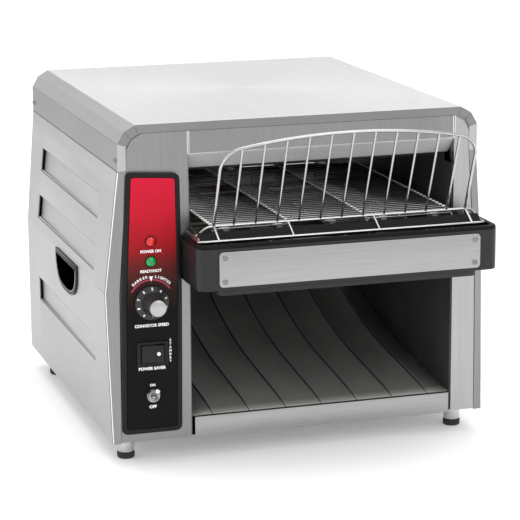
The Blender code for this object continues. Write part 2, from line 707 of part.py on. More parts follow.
def chain_outline(offset):
    """Outline around the two chain sprockets, a little outside their rims."""
    big = Vector((y_at(REAR_SHAFT_Y), SHAFT_Z))
    small = Vector((y_at(MOTOR_Y), z_at(MOTOR_Z)))
    line = big - small
    lean = math.atan2(line.y, line.x)
    spread = math.acos((SHAFT_SPROCKET - MOTOR_SPROCKET) / line.length)
    points = []
    for centre, radius, start, stop in (
            (big, SHAFT_SPROCKET + offset, lean - spread, lean + spread),
            (small, MOTOR_SPROCKET + offset, lean + spread, lean + 2 * math.pi - spread)):
        for step in range(11):
            angle = start + (stop - start) * step / 10
            points.append((centre.x + radius * math.cos(angle),
                           centre.y + radius * math.sin(angle)))
    return points


def make_drive():
    """Gear motor, its sprocket and the chain up to the rear shaft."""
    plate("drive_chain", [chain_outline(4.6 * MM), chain_outline(0.6 * MM)], "YZ",
          DRIVE_X - CHAIN_WIDTH / 2, DRIVE_X + CHAIN_WIDTH / 2, DARK_STEEL)
    hub = [(0, 6 * MM), (5 * MM, 6 * MM), (5 * MM, 1.5 * MM), (MOTOR_SPROCKET, 1.5 * MM),
           (MOTOR_SPROCKET, -1.5 * MM), (SHAFT_RADIUS, -1.5 * MM), (SHAFT_RADIUS, -14 * MM),
           (0, -14 * MM)]
    turned("motor_sprocket", hub, "X", (DRIVE_X, y_at(MOTOR_Y), z_at(MOTOR_Z)), DARK_STEEL, 20)
    case = block("gear_motor", (-166 * MM, y_at(MOTOR_Y - 24 * MM), z_at(MOTOR_Z - 44 * MM)),
                 (-142 * MM, y_at(MOTOR_Y + 24 * MM), z_at(MOTOR_Z + 24 * MM)), MOTOR_GREY,
                 bevel=2 * MM)
    can = turned("gear_motor_can", [(0, 26 * MM), (22 * MM, 26 * MM), (22 * MM, -8 * MM),
                                    (0, -8 * MM)], "-X",
                 (-164 * MM, y_at(MOTOR_Y), z_at(MOTOR_Z - 20 * MM)), segments=20, cutter=True)
    bore = turned("gear_motor_bore", [(0, 20 * MM), (BUSH_BORE, 20 * MM),
                                      (BUSH_BORE, -8 * MM), (0, -8 * MM)], "X",
                  (-148 * MM, y_at(MOTOR_Y), z_at(MOTOR_Z)), segments=20, cutter=True)
    combine(case, can, "UNION")
    combine(case, bore, "DIFFERENCE")


# ---------------------------------------------------------------- front housing
def housing_outline(inset, rear):
    """Plan of the housing: a wide U with round front corners."""
    left = HOUSING_CENTRE - HOUSING_WIDTH / 2 + inset
    right = HOUSING_CENTRE + HOUSING_WIDTH / 2 - inset
    front = y_at(-HOUSING_PROUD) + inset
    radius = max(HOUSING_CORNER - inset, 6 * MM)
    points = [(right, rear), (left, rear)]
    for x, start in ((left + radius, 180), (right - radius, 270)):
        for step in range(9):
            angle = math.radians(start + 90 * step / 8)
            points.append((x + radius * math.cos(angle),
                           front + radius + radius * math.sin(angle)))
    return points


def make_housing():
    """Black housing of the belt's nose: a band with a top return, and the pan that shuts it."""
    wall = 1.5 * MM
    rear = y_at(-GAP)
    band = plate("front_housing", [housing_outline(0, rear)], "XY", z_at(HOUSING_BOTTOM),
                 z_at(HOUSING_TOP), BLACK_ENAMEL)
    hollow = plate("housing_hollow", [housing_outline(wall, rear + 0.02)], "XY",
                   z_at(HOUSING_BOTTOM) - 0.02, z_at(HOUSING_TOP) - wall, cutter=True)
    window = plate("housing_window", [housing_outline(HOUSING_RETURN, rear + 0.02)], "XY",
                   z_at(HOUSING_BOTTOM) - 0.02, z_at(HOUSING_TOP) + 0.02, cutter=True)
    combine(band, hollow, "DIFFERENCE")
    combine(band, window, "DIFFERENCE")
    pan = plate("housing_pan", [housing_outline(wall + GAP, rear)], "XY",
                z_at(HOUSING_BOTTOM + 0.5 * MM), z_at(HOUSING_BOTTOM + 1.7 * MM), BLACK_ENAMEL)
    lip = plate("housing_pan_lip",
                [rounded_outline(HOUSING_CENTRE - PLATE_WIDTH / 2, y_at(-61 * MM),
                                 HOUSING_CENTRE + PLATE_WIDTH / 2, rear - 1 * MM, 8 * MM, 3)],
                "XY", z_at(HOUSING_BOTTOM - 6 * MM), z_at(HOUSING_BOTTOM + 1 * MM), cutter=True)
    under = plate("housing_pan_under",
                  [rounded_outline(HOUSING_CENTRE - PLATE_WIDTH / 2 + SHEET, y_at(-61 * MM) + SHEET,
                                   HOUSING_CENTRE + PLATE_WIDTH / 2 - SHEET,
                                   rear - 1 * MM - SHEET, 7 * MM, 3)],
                  "XY", z_at(HOUSING_BOTTOM - 10 * MM), z_at(HOUSING_BOTTOM + 0.3 * MM),
                  cutter=True)
    combine(pan, lip, "UNION")
    combine(pan, under, "DIFFERENCE")
    middle = z_at((HOUSING_TOP + HOUSING_BOTTOM) / 2 - 1.5 * MM)
    front = y_at(-HOUSING_PROUD) - GAP
    plate("front_plate",
          [rounded_outline(HOUSING_CENTRE - PLATE_WIDTH / 2, middle - PLATE_HEIGHT / 2,
                           HOUSING_CENTRE + PLATE_WIDTH / 2, middle + PLATE_HEIGHT / 2,
                           4 * MM)],
          "XZ", front - PLATE_THICK, front, STAINLESS)


# ---------------------------------------------------------------- wire feed rack
RACK_RAIL_Y = -52.5 * MM
RACK_REST_Z = HOUSING_TOP + RACK_WIRE + GAP
RACK_LOOP_LEFT = 21 * MM        # how far the end loops reach past the legs
RACK_LOOP_RIGHT = 14 * MM
CROWN_RADIUS = 580 * MM
CORNER_RADIUS = 26 * MM


def rack_point(x, rise):
    """A point of the leaning rack, that far up its slope."""
    return (HOUSING_CENTRE + x, y_at(RACK_FOOT_Y) - rise * math.sin(RACK_LEAN),
            z_at(RACK_FOOT_Z) + rise * math.cos(RACK_LEAN))


def crown(x):
    """Height of the rack's arched top wire at a distance from the middle."""
    return RACK_RISE - CROWN_RADIUS + math.sqrt(CROWN_RADIUS ** 2 - x ** 2)


def rack_arch():
    """Right half of the arch: up the leg, round the corner and along the crown."""
    centre_x = RACK_HALF - CORNER_RADIUS
    reach = CROWN_RADIUS - CORNER_RADIUS
    centre_rise = RACK_RISE - CROWN_RADIUS + math.sqrt(reach ** 2 - centre_x ** 2)
    meet = math.atan2(math.sqrt(reach ** 2 - centre_x ** 2), centre_x)
    points = [(RACK_HALF, 0.0)]
    for step in range(7):
        angle = meet * step / 6
        points.append((centre_x + CORNER_RADIUS * math.cos(angle),
                       centre_rise + CORNER_RADIUS * math.sin(angle)))
    end = points[-1][0]
    points += [(end * share, crown(end * share)) for share in (0.75, 0.5, 0.25)]
    return points


def make_rack():
    """One welded wire rack that guides the bread down onto the belt."""
    right = rack_arch()
    arch = [rack_point(x, rise) for x, rise in right]
    arch.append(rack_point(0, crown(0)))
    arch += [rack_point(-x, rise) for x, rise in reversed(right)]
    rail_y = y_at(RACK_RAIL_Y)
    rail_z = z_at(RACK_REST_Z)
    left_toe = (HOUSING_CENTRE - RACK_HALF, rail_y, rail_z)
    right_toe = (HOUSING_CENTRE + RACK_HALF, rail_y, rail_z)
    rack = wire("feed_rack", [right_toe, *arch, left_toe], RACK_WIRE, BRIGHT_WIRE)
    pieces = []
    for number in range(RUNG_COUNT):
        x = RUNG_PITCH * (number - (RUNG_COUNT - 1) / 2)
        pieces.append(wire(f"rack_rung_{number + 1}",
                           [rack_point(x, 0), rack_point(x, crown(x))], RUNG_WIRE,
                           cutter=True))
    pieces.append(wire("rack_back_rail",
                       [rack_point(-RACK_HALF, 0), rack_point(RACK_HALF, 0)], RACK_WIRE - 0.1 * MM,
                       cutter=True))
    foot_y = y_at(RACK_FOOT_Y)
    foot_z = z_at(RACK_FOOT_Z)
    bend = 4 * MM

    def loop(reach):
        end = RACK_HALF + reach
        return [(RACK_HALF, foot_y, foot_z), (RACK_HALF + 8 * MM, foot_y, foot_z - 0.8 * MM),
                (end - bend, foot_y, rail_z), (end, foot_y - bend, rail_z),
                (end, rail_y + bend, rail_z), (end - bend, rail_y, rail_z)]

    rail = [(HOUSING_CENTRE - x, y, z) for x, y, z in loop(RACK_LOOP_LEFT)]
    rail += [(HOUSING_CENTRE + x, y, z) for x, y, z in reversed(loop(RACK_LOOP_RIGHT))]
    pieces.append(wire("rack_front_rail", rail, RACK_WIRE - 0.15 * MM, cutter=True))
    for number, x in enumerate((-RUNG_PITCH * 2.5, RUNG_PITCH * 1.5), 1):
        pieces.append(wire(f"rack_cross_wire_{number}",
                           [rack_point(x, 0), (HOUSING_CENTRE + x, rail_y, rail_z)],
                           RUNG_WIRE, cutter=True))
    for piece in pieces:
        combine(rack, piece, "UNION")


# ---------------------------------------------------------------- crumb tray
TRAY_LEFT = -117.2 * MM
TRAY_RIGHT = 166.6 * MM
TRAY_DEPTH = 378 * MM


def make_crumb_tray():
    """A sliding tray under the ramp. Its front strip closes the gap below the exit."""
    tray = block("crumb_tray", (TRAY_LEFT + 2 * MM, y_at(0.5 * MM), z_at(2.2 * MM)),
                 (TRAY_RIGHT - 2 * MM, y_at(TRAY_DEPTH), z_at(15 * MM)), STAINLESS)
    hollow = block("crumb_tray_hollow",
                   (TRAY_LEFT + 3 * MM, y_at(2 * MM), z_at(3.2 * MM)),
                   (TRAY_RIGHT - 3 * MM, y_at(TRAY_DEPTH - 1 * MM), z_at(30 * MM)), cutter=True)
    strip = block("crumb_tray_front", (TRAY_LEFT, y_at(0), z_at(-0.5 * MM)),
                  (TRAY_RIGHT, y_at(1.4 * MM), z_at(21.5 * MM)), cutter=True)
    combine(tray, strip, "UNION")
    combine(tray, hollow, "DIFFERENCE")


# ---------------------------------------------------------------- control panel
PANEL_CORNERS = ((-131.6, 281.5), (-187.4, 285.2), (-193.9, 157.0), (-196.2, 10.5),
                 (-132.2, 10.5), (-130.6, 157.0))


def bezel_outline(inset, steps=4):
    """The control panel's outline, drawn in. Its left edge follows the casing's crease."""
    corners = [Vector((x * MM, z_at(z * MM))) for x, z in PANEL_CORNERS]
    count = len(corners)
    drawn_in = []
    for index, here in enumerate(corners):
        back = (here - corners[index - 1]).normalized()
        ahead = (corners[(index + 1) % count] - here).normalized()
        half_turn = back.angle(ahead) / 2
        inward = (Vector((-back.y, back.x)) + Vector((-ahead.y, ahead.x))).normalized()
        drawn_in.append(here + inward * inset / math.cos(half_turn))
    points = []
    reach = 7 * MM - inset * 0.7
    for index, here in enumerate(drawn_in):
        back = (drawn_in[index - 1] - here).normalized()
        ahead = (drawn_in[(index + 1) % count] - here).normalized()
        if back.angle(ahead) > math.radians(150):
            points.append(tuple(here))
            continue
        for step in range(steps + 1):
            share = step / steps
            start = here + back * reach * (1 - share) ** 2
            points.append(tuple(start + ahead * reach * share ** 2))
    return points


LABEL_INSET = 5 * MM
POCKET = 1.0 * MM


def make_bezel_and_label():
    back = y_at(-GAP)
    front = y_at(-BEZEL_THICK)
    bezel = plate("control_bezel", [bezel_outline(0), *control_holes()], "XZ", front, back,
                  BLACK_PLASTIC)
    pocket = plate("bezel_pocket", [bezel_outline(LABEL_INSET)], "XZ", front - 0.01,
                   front + POCKET, cutter=True)
    combine(bezel, pocket, "DIFFERENCE")
    plate("control_label", [bezel_outline(LABEL_INSET + GAP), *control_holes()], "XZ",
          front + POCKET - GAP - 0.5 * MM, front + POCKET - GAP, LABEL_FILM)


PANEL_FACE = BEZEL_THICK - POCKET + GAP + 0.5 * MM   # front face of the label


def make_knob():
    """Speed knob with a skirt and a tapered grip, and the potentiometer that it turns."""
    face = PANEL_FACE + 1.0 * MM
    profile = [(0, 27 * MM), (8.0 * MM, 27 * MM), (8.8 * MM, 26 * MM), (11.2 * MM, 6 * MM),
               (14 * MM, 3.4 * MM), (17.6 * MM, 2.0 * MM), (17.9 * MM, 0), (3 * MM, 0),
               (3 * MM, -13 * MM), (0, -13 * MM)]
    turned("speed_knob", profile, "-Y", (CONTROL_X, y_at(-face), z_at(KNOB_Z)),
           BLACK_PLASTIC, 24)
    body = [(3.15 * MM, 0), (12 * MM, 0), (12 * MM, -12 * MM), (3.15 * MM, -12 * MM)]
    turned("speed_potentiometer", body, "-Y", (CONTROL_X, y_at(SHEET + 0.5 * MM),
                                              z_at(KNOB_Z)), ALUMINISED, 20, ring=True)


LAMPS = (("power_lamp", RED_LAMP_Z, RED_LENS, 5.1 * MM),
         ("ready_lamp", GREEN_LAMP_Z, GREEN_LENS, 5.6 * MM))


def make_lamps():
    for name, height, material, radius in LAMPS:
        profile = [(0, 3.4 * MM), (radius * 0.5, 3.0 * MM), (radius * 0.85, 1.9 * MM),
                   (radius, 0.4 * MM), (radius, 0), (4.1 * MM, 0), (4.1 * MM, -18 * MM),
                   (0, -18 * MM)]
        turned(name, profile, "-Y", (CONTROL_X, y_at(-PANEL_FACE - GAP), z_at(height)),
               material, 16)


ROCKER_TILT = math.radians(8)
ROCKER_AXIS_Y = -PANEL_FACE - 1.5 * MM


def make_rocker():
    """Standby rocker switch: a clip-in frame, and a paddle that tips left and right."""
    z = z_at(ROCKER_Z)
    frame = block("rocker_frame", (CONTROL_X - 16.7 * MM, y_at(-PANEL_FACE - 2.2 * MM),
                                   z - 12.7 * MM),
                  (CONTROL_X + 16.7 * MM, y_at(-PANEL_FACE - GAP), z + 12.7 * MM),
                  BLACK_PLASTIC)
    body = block("rocker_body", (CONTROL_X - 13.6 * MM, y_at(-PANEL_FACE - 1 * MM),
                                 z - 10.2 * MM),
                 (CONTROL_X + 13.6 * MM, y_at(18 * MM), z + 10.2 * MM), cutter=True)
    well = block("rocker_well", (CONTROL_X - 12.4 * MM, y_at(-0.03), z - 9.6 * MM),
                 (CONTROL_X + 12.4 * MM, y_at(6 * MM), z + 9.6 * MM), cutter=True)
    combine(frame, body, "UNION")
    combine(frame, well, "DIFFERENCE")
    half = 11.6 * MM
    axis = Vector((CONTROL_X, y_at(ROCKER_AXIS_Y)))
    rise = math.tan(ROCKER_TILT)
    outline = [(-half, -0.6 * MM), (-half, -3.2 * MM), (0, -1.2 * MM), (half, -3.2 * MM),
               (half, -0.6 * MM), (3 * MM, 4.5 * MM), (-3 * MM, 4.5 * MM)]
    tilt = Matrix.Rotation(-math.atan(rise), 2)
    points = [tuple(axis + tilt @ Vector(point)) for point in outline]
    paddle = plate("standby_rocker", [points], "XY", z - 9.2 * MM, z + 9.2 * MM, BLACK_PLASTIC)
    set_origin(paddle, (axis.x, axis.y, z))


def set_origin(obj, origin):
    """Move an object's origin to a world point and leave its shape where it is."""
    origin = Vector(origin)
    obj.data.transform(Matrix.Translation(-origin))
    obj.location = origin


TOGGLE_TILT = math.radians(30)
TOGGLE_PIVOT_Y = -PANEL_FACE - 2.8 * MM


def make_toggle():
    """Mains toggle switch: threaded bush with its nut, and a bat lever on a ball."""
    z = z_at(TOGGLE_Z)
    centre = (CONTROL_X, FRONT_Y, z)
    nut_back = PANEL_FACE + GAP
    profile = [(0, -8 * MM), (7 * MM, -8 * MM), (7 * MM, -5 * MM), (5 * MM, -3.4 * MM),
               (5 * MM, nut_back), (4.5 * MM, nut_back + 6.5 * MM),
               (5.8 * MM, nut_back + 6.5 * MM), (5.8 * MM, nut_back + 2.6 * MM),
               (7.4 * MM, nut_back + 2.6 * MM), (8.1 * MM, nut_back + 1.8 * MM),
               (8.1 * MM, nut_back), (5.8 * MM, nut_back), (5.8 * MM, -3 * MM),
               (9.5 * MM, -3 * MM), (9.5 * MM, -24 * MM), (0, -24 * MM)]
    turned("toggle_switch_body", profile, "-Y", centre, CHROME, 14)
    lever = [(0, 22 * MM), (1.9 * MM, 21.4 * MM), (2.9 * MM, 19.5 * MM), (2.8 * MM, 17 * MM),
             (1.5 * MM, 7 * MM), (1.5 * MM, 2.8 * MM), (3.0 * MM, 1.2 * MM),
             (3.4 * MM, 0), (2.2 * MM, -2.6 * MM), (0, -3.4 * MM)]
    bat = turned("toggle_lever", lever, "-Y", (CONTROL_X, y_at(TOGGLE_PIVOT_Y), z), CHROME, 12)
    bat.matrix_world = (Matrix.Translation(bat.matrix_world.translation)
                        @ Matrix.Rotation(-TOGGLE_TILT, 4, "X") @ TURN["-Y"])


# ---------------------------------------------------------------- electrical parts
FAN_X = -157 * MM
FAN_Z = 60 * MM
FAN_SIZE = 60 * MM
FAN_DEPTH = 25 * MM
FAN_DUCT = 28 * MM              # radius of the duct through the frame
FAN_HUB = 12 * MM
FAN_REACH = 26.5 * MM           # radius of the blade tips
FAN_BLADES = 7
BLADE_PITCH = math.radians(38)
BOARD_X = -126.5 * MM
BOARD_THICK = 1.6 * MM
BOARD_START = (60 * MM, 60 * MM)       # lower front corner, from the front plane and the edge
BOARD_SIZE = 90 * MM
BOARD_PART_TALL = 13.5 * MM
BOARD_PARTS = ((75, 75, 20, 16), (105, 120, 26, 20), (72, 118, 16, 22))
TERMINALS_LOW = (171 * MM, 330 * MM, 20 * MM)
TERMINALS_HIGH = (192 * MM, 385 * MM, 38 * MM)
GLAND_X = 128 * MM
GLAND_Z = 60 * MM


def make_fan():
    """A square axial fan on the rear panel: a frame with a cross bar, and a bladed rotor."""
    rear = REAR_Y - SHEET - 0.5 * MM
    half = FAN_SIZE / 2
    centre = (FAN_X, rear - FAN_DEPTH / 2, z_at(FAN_Z))
    frame = block("fan_frame", (FAN_X - half, rear - FAN_DEPTH, centre[2] - half),
                  (FAN_X + half, rear, centre[2] + half), BLACK_PLASTIC)
    duct = turned("fan_duct", [(0, FAN_DEPTH), (FAN_DUCT, FAN_DEPTH), (FAN_DUCT, -FAN_DEPTH),
                               (0, -FAN_DEPTH)], "Y", centre, segments=20, cutter=True)
    combine(frame, duct, "DIFFERENCE")
    spider = block("fan_spider", (FAN_X - half + 1 * MM, rear - 4 * MM, centre[2] - 2 * MM),
                   (FAN_X + half - 1 * MM, rear - 1 * MM, centre[2] + 2 * MM), cutter=True)
    combine(frame, spider, "UNION")
    rotor = turned("fan_rotor", [(0, 6 * MM), (FAN_HUB, 6 * MM), (FAN_HUB, -10 * MM),
                                 (0, -10 * MM)], "Y", centre, BLACK_PLASTIC, 16)
    for number in range(FAN_BLADES):
        blade = block(f"fan_blade_{number + 1}", (FAN_HUB - 2 * MM, -1 * MM, -8 * MM),
                      (FAN_REACH, 1 * MM, 5 * MM), cutter=True)
        blade.matrix_world = (Matrix.Translation(centre) @ TURN["Y"]
                              @ Matrix.Rotation(2 * math.pi * number / FAN_BLADES, 4, "Z")
                              @ Matrix.Rotation(BLADE_PITCH, 4, "X"))
        combine(rotor, blade, "UNION")


def make_electrics():
    """Circuit board with its larger parts, terminal block and the cord's gland."""
    y, z = BOARD_START
    board = block("control_board", (BOARD_X, y_at(y), z_at(z)),
                  (BOARD_X + BOARD_THICK, y_at(y + BOARD_SIZE), z_at(z + BOARD_SIZE)),
                  BOARD_GREEN)
    for number, (y, z, wide, tall) in enumerate(BOARD_PARTS, 1):
        chip = block(f"board_part_{number}", (BOARD_X - BOARD_PART_TALL, y_at(y * MM),
                                              z_at(z * MM)),
                     (BOARD_X + 0.5 * MM, y_at((y + wide) * MM), z_at((z + tall) * MM)),
                     cutter=True)
        combine(board, chip, "UNION")
    x, y, z = TERMINALS_LOW
    far_x, far_y, far_z = TERMINALS_HIGH
    block("terminal_block", (x, y_at(y), z_at(z)), (far_x, y_at(far_y), z_at(far_z)),
          BLACK_PLASTIC, bevel=1 * MM)
    gland = [(5.2 * MM, GLAND_PROUD), (7.2 * MM, GLAND_PROUD), (8.6 * MM, 3 * MM),
             (12 * MM, 3 * MM), (12 * MM, GAP), (8.0 * MM, GAP), (8.0 * MM, -9 * MM),
             (5.2 * MM, -9 * MM)]
    turned("cord_gland", gland, "Y", (GLAND_X, REAR_Y, z_at(GLAND_Z)), BLACK_PLASTIC, 16,
           ring=True)


# ---------------------------------------------------------------- feet
FOOT_X = 184 * MM
FOOT_FRONT = 33 * MM
FOOT_REAR = 368 * MM
PAD_HEIGHT = 6 * MM


def make_feet():
    """Round metal legs with rubber pads, screwed up into the base pan."""
    leg = [(0, 0), (8.7 * MM, 0), (8.7 * MM, PAD_HEIGHT + 0.8 * MM - FOOT_HEIGHT),
           (0, PAD_HEIGHT + 0.8 * MM - FOOT_HEIGHT)]
    pad = [(0, PAD_HEIGHT + 0.5 * MM), (9.3 * MM, PAD_HEIGHT + 0.5 * MM), (9.4 * MM, 1 * MM),
           (8.6 * MM, 0), (0, 0)]
    for front_rear, y in (("front", FOOT_FRONT), ("rear", FOOT_REAR)):
        for left_right, x in (("left", -FOOT_X), ("right", FOOT_X)):
            turned(f"{front_rear}_{left_right}_foot", leg, "Z", (x, y_at(y), FLOOR_Z), CHROME,
                   18)
            turned(f"{front_rear}_{left_right}_pad", pad, "Z", (x, y_at(y), 0), RUBBER, 18)


# ---------------------------------------------------------------- build
make_top_cover()
make_side_panel("left_side_panel", -1)
make_side_panel("right_side_panel", 1)
make_handle_cup("left_handle_cup", -1)
make_handle_cup("right_handle_cup", 1)
make_base_pan()
make_rear_panel()
make_pillars()
make_header()
make_chamber_walls()
make_shields()
make_ramp()
make_heaters()
make_belt()
make_shafts()
make_bushes()
make_drive()
make_housing()
make_rack()
make_crumb_tray()
make_bezel_and_label()
make_knob()
make_lamps()
make_rocker()
make_toggle()
make_fan()
make_electrics()
make_feet()
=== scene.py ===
"""Looks of a countertop conveyor toaster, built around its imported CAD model.

Metres. X to the user's right, Y to the rear, Z up, origin on the counter under the machine.
"""
import math

import bmesh
import bpy
from mathutils import Matrix, Vector


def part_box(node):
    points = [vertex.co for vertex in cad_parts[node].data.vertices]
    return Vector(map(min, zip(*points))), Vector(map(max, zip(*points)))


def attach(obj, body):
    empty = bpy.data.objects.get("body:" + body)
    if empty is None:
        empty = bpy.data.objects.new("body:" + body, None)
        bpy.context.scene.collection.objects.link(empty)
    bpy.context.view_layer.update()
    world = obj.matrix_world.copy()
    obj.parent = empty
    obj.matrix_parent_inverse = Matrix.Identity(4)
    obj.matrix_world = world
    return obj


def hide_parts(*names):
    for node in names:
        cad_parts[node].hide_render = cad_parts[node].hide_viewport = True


bpy.ops.wm.read_factory_settings(use_empty=True)
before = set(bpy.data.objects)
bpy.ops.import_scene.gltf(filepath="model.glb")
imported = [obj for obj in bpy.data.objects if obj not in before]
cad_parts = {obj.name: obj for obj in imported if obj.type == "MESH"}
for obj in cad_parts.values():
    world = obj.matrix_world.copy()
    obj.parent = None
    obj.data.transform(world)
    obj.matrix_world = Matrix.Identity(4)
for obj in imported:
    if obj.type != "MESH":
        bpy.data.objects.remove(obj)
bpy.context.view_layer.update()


# ------------------------------------------------------------------ camera, floor and light
# The camera looks down a little from the machine's left front, with a long lens.
# The floor is a pale studio sweep. One broad soft light hangs over the machine, one stands at
# its left, and a weak one fills the front.
face_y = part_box("left_front_pillar")[0].y
sheet_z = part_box("left_front_pillar")[0].z - 0.001
scene = bpy.context.scene

camera_place = (-0.6994, face_y - 2.0892, sheet_z + 0.6901)
camera_heading, camera_dip, camera_roll = -17.38, 13.02, -0.34
camera = bpy.data.objects.new("camera", bpy.data.cameras.new("camera"))
camera.data.lens = 150.5
camera.data.sensor_width = 36.0
camera.data.clip_end = 50.0
look = Matrix.Rotation(math.radians(camera_heading), 4, "Z")
look = look @ Matrix.Rotation(math.radians(90 - camera_dip), 4, "X")
look = look @ Matrix.Rotation(math.radians(camera_roll), 4, "Z")
camera.matrix_world = Matrix.Translation(camera_place) @ look
scene.collection.objects.link(camera)
scene.camera = camera
scene.view_settings.view_transform = "Standard"

floor_shape = bmesh.new()
bmesh.ops.create_grid(floor_shape, x_segments=1, y_segments=1, size=14.0)
floor_mesh = bpy.data.meshes.new("floor")
floor_shape.to_mesh(floor_mesh)
floor_shape.free()
floor = bpy.data.objects.new("floor", floor_mesh)
scene.collection.objects.link(floor)
floor_paint = bpy.data.materials.new("floor_paint")
floor_paint.use_nodes = True
floor_shader = floor_paint.node_tree.nodes["Principled BSDF"]
floor_shader.label = "pale matt floor"
floor_shader.inputs["Base Color"].default_value = (0.96, 0.96, 0.96, 1)
floor_shader.inputs["Roughness"].default_value = 0.9
floor_shader.inputs["Specular IOR Level"].default_value = 0.1
floor_shader.inputs["Emission Color"].default_value = (1.0, 1.0, 1.0, 1)
floor_shader.inputs["Emission Strength"].default_value = 0.16
floor_mesh.materials.append(floor_paint)

world = bpy.data.worlds.new("studio")
world.use_nodes = True
surround = world.node_tree.nodes["Background"]
surround.inputs["Color"].default_value = (1.0, 1.0, 1.0, 1)
surround.inputs["Strength"].default_value = 0.95
scene.world = world

for light_name, place, size, power in (
        ("overhead_softbox", (0.1, 0.3, 2.6), 3.2, 34.0),
        ("left_softbox", (-2.6, 0.2, 1.5), 2.2, 9.0),
        ("front_fill", (0.9, -3.0, 1.7), 1.6, 14.0)):
    lamp = bpy.data.lights.new(light_name, "AREA")
    lamp.shape = "DISK"
    lamp.size = size
    lamp.energy = power
    holder = bpy.data.objects.new(light_name, lamp)
    holder.location = place
    aim = Vector((0, 0, 0.2)) - Vector(place)
    holder.rotation_euler = aim.to_track_quat("-Z", "Y").to_euler()
    scene.collection.objects.link(holder)


# ------------------------------------------------------------------ brushed stainless sheet
# All outer sheets are the same stainless, brushed in one direction and then folded. The brush
# leaves fine streaks, and handling leaves faint cloudy patches in the shine.
def brushed_steel(name, tone, grain, roughness, metallic=1.0, colours=None):
    """Brushed metal. grain stretches the streaks: small along them, large across.

    It is a neutral steel of that tone, unless a dark and a light colour are given.
    """
    dark, light = colours or ((tone * 0.9, tone * 0.9, tone * 0.89),
                              (tone * 1.06, tone * 1.06, tone * 1.055))
    material = bpy.data.materials.new(name)
    material.use_nodes = True
    nodes = material.node_tree.nodes
    links = material.node_tree.links
    shader = nodes["Principled BSDF"]
    shader.label = "stainless steel"
    grain_frame = nodes.new("NodeFrame")
    grain_frame.label = "brush streaks"
    cloud_frame = nodes.new("NodeFrame")
    cloud_frame.label = "cloudy handling marks"
    place = nodes.new("ShaderNodeTexCoord")
    place.label = "position on the sheet"
    stretch = nodes.new("ShaderNodeMapping")
    stretch.label = "stretch along the brush"
    streaks = nodes.new("ShaderNodeTexNoise")
    streaks.label = "fine streaks"
    tint = nodes.new("ShaderNodeMapRange")
    tint.label = "streaks darken a little"
    clouds = nodes.new("ShaderNodeTexNoise")
    clouds.label = "patches"
    dull = nodes.new("ShaderNodeMapRange")
    dull.label = "patches dull the shine"
    shade = nodes.new("ShaderNodeMix")
    shade.label = "steel colour"
    rough = nodes.new("ShaderNodeMath")
    rough.label = "streaks roughen too"
    scratch = nodes.new("ShaderNodeBump")
    scratch.label = "streak relief"
    for node, location in ((shader, (500, 100)), (place, (-1100, 0)), (stretch, (-900, 150)),
                           (streaks, (-700, 150)), (tint, (-450, 200)), (clouds, (-700, -200)),
                           (dull, (-450, -200)), (shade, (-150, 200)), (rough, (-150, -100)),
                           (scratch, (100, -250))):
        node.location = location
    for node in (stretch, streaks, tint):
        node.parent = grain_frame
    for node in (clouds, dull):
        node.parent = cloud_frame

    stretch.inputs["Scale"].default_value = grain
    streaks.inputs["Scale"].default_value = 1.0
    streaks.inputs["Detail"].default_value = 4.0
    streaks.inputs["Roughness"].default_value = 0.65
    tint.inputs["From Min"].default_value = 0.3
    tint.inputs["From Max"].default_value = 0.7
    clouds.inputs["Scale"].default_value = 9.0
    clouds.inputs["Detail"].default_value = 3.0
    dull.inputs["To Min"].default_value = roughness - 0.04
    dull.inputs["To Max"].default_value = roughness + 0.06
    shade.data_type = "RGBA"
    shade.inputs["A"].default_value = (*dark, 1)
    shade.inputs["B"].default_value = (*light, 1)
    rough.operation = "MULTIPLY_ADD"
    rough.inputs[1].default_value = 0.12
    scratch.inputs["Strength"].default_value = 0.12
    scratch.inputs["Distance"].default_value = 0.0002
    shader.inputs["Metallic"].default_value = metallic
    shader.inputs["Anisotropic"].default_value = 0.3

    links.new(place.outputs["Object"], stretch.inputs["Vector"])
    links.new(stretch.outputs["Vector"], streaks.inputs["Vector"])
    links.new(streaks.outputs["Fac"], tint.inputs["Value"])
    links.new(tint.outputs["Result"], shade.inputs["Factor"])
    links.new(shade.outputs["Result"], shader.inputs["Base Color"])
    links.new(place.outputs["Object"], clouds.inputs["Vector"])
    links.new(clouds.outputs["Fac"], dull.inputs["Value"])
    links.new(streaks.outputs["Fac"], rough.inputs[0])
    links.new(dull.outputs["Result"], rough.inputs[2])
    links.new(rough.outputs["Value"], shader.inputs["Roughness"])
    links.new(streaks.outputs["Fac"], scratch.inputs["Height"])
    links.new(scratch.outputs["Normal"], shader.inputs["Normal"])
    return material


# These six are one stainless in different tones, each fitted to how bright its surface looks:
# painted light on the top, and painted shade on the cover's bands and facets, the sides, the front
# and the plate.
top_steel_lit = brushed_steel("top_stainless_painted_light", 0.72, (900, 12, 900), 0.30)
band_steel_shaded = brushed_steel("band_stainless_painted_shade", 0.24, (900, 12, 900), 0.32)
facet_steel_shaded = brushed_steel("facet_stainless_painted_shade", 0.43, (900, 12, 900), 0.30)
side_steel_shaded = brushed_steel("side_stainless_painted_shade", 0.40, (700, 12, 900), 0.33)
front_steel_shaded = brushed_steel("front_stainless_painted_shade", 0.265, (900, 900, 14), 0.30)
plate_steel_shaded = brushed_steel("plate_stainless_painted_shade", 0.37, (14, 900, 900), 0.28)


def settle(name, shape, material, body="casing", replaced=(),
           sharp=35):
    """Turn a finished bmesh into a piece that rides on its body."""
    mesh = bpy.data.meshes.new(name)
    shape.to_mesh(mesh)
    shape.free()
    mesh.materials.append(material)
    mesh.shade_smooth()
    mesh.set_sharp_from_angle(angle=math.radians(sharp))
    piece = bpy.data.objects.new(name, mesh)
    scene.collection.objects.link(piece)
    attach(piece, body)
    if replaced:
        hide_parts(*replaced)
    return piece


def even_shading(piece):
    """Let the large flat faces of a piece set the shading of their rounded edges."""
    evened = piece.modifiers.new("even_shading", "WEIGHTED_NORMAL")
    evened.keep_sharp = True


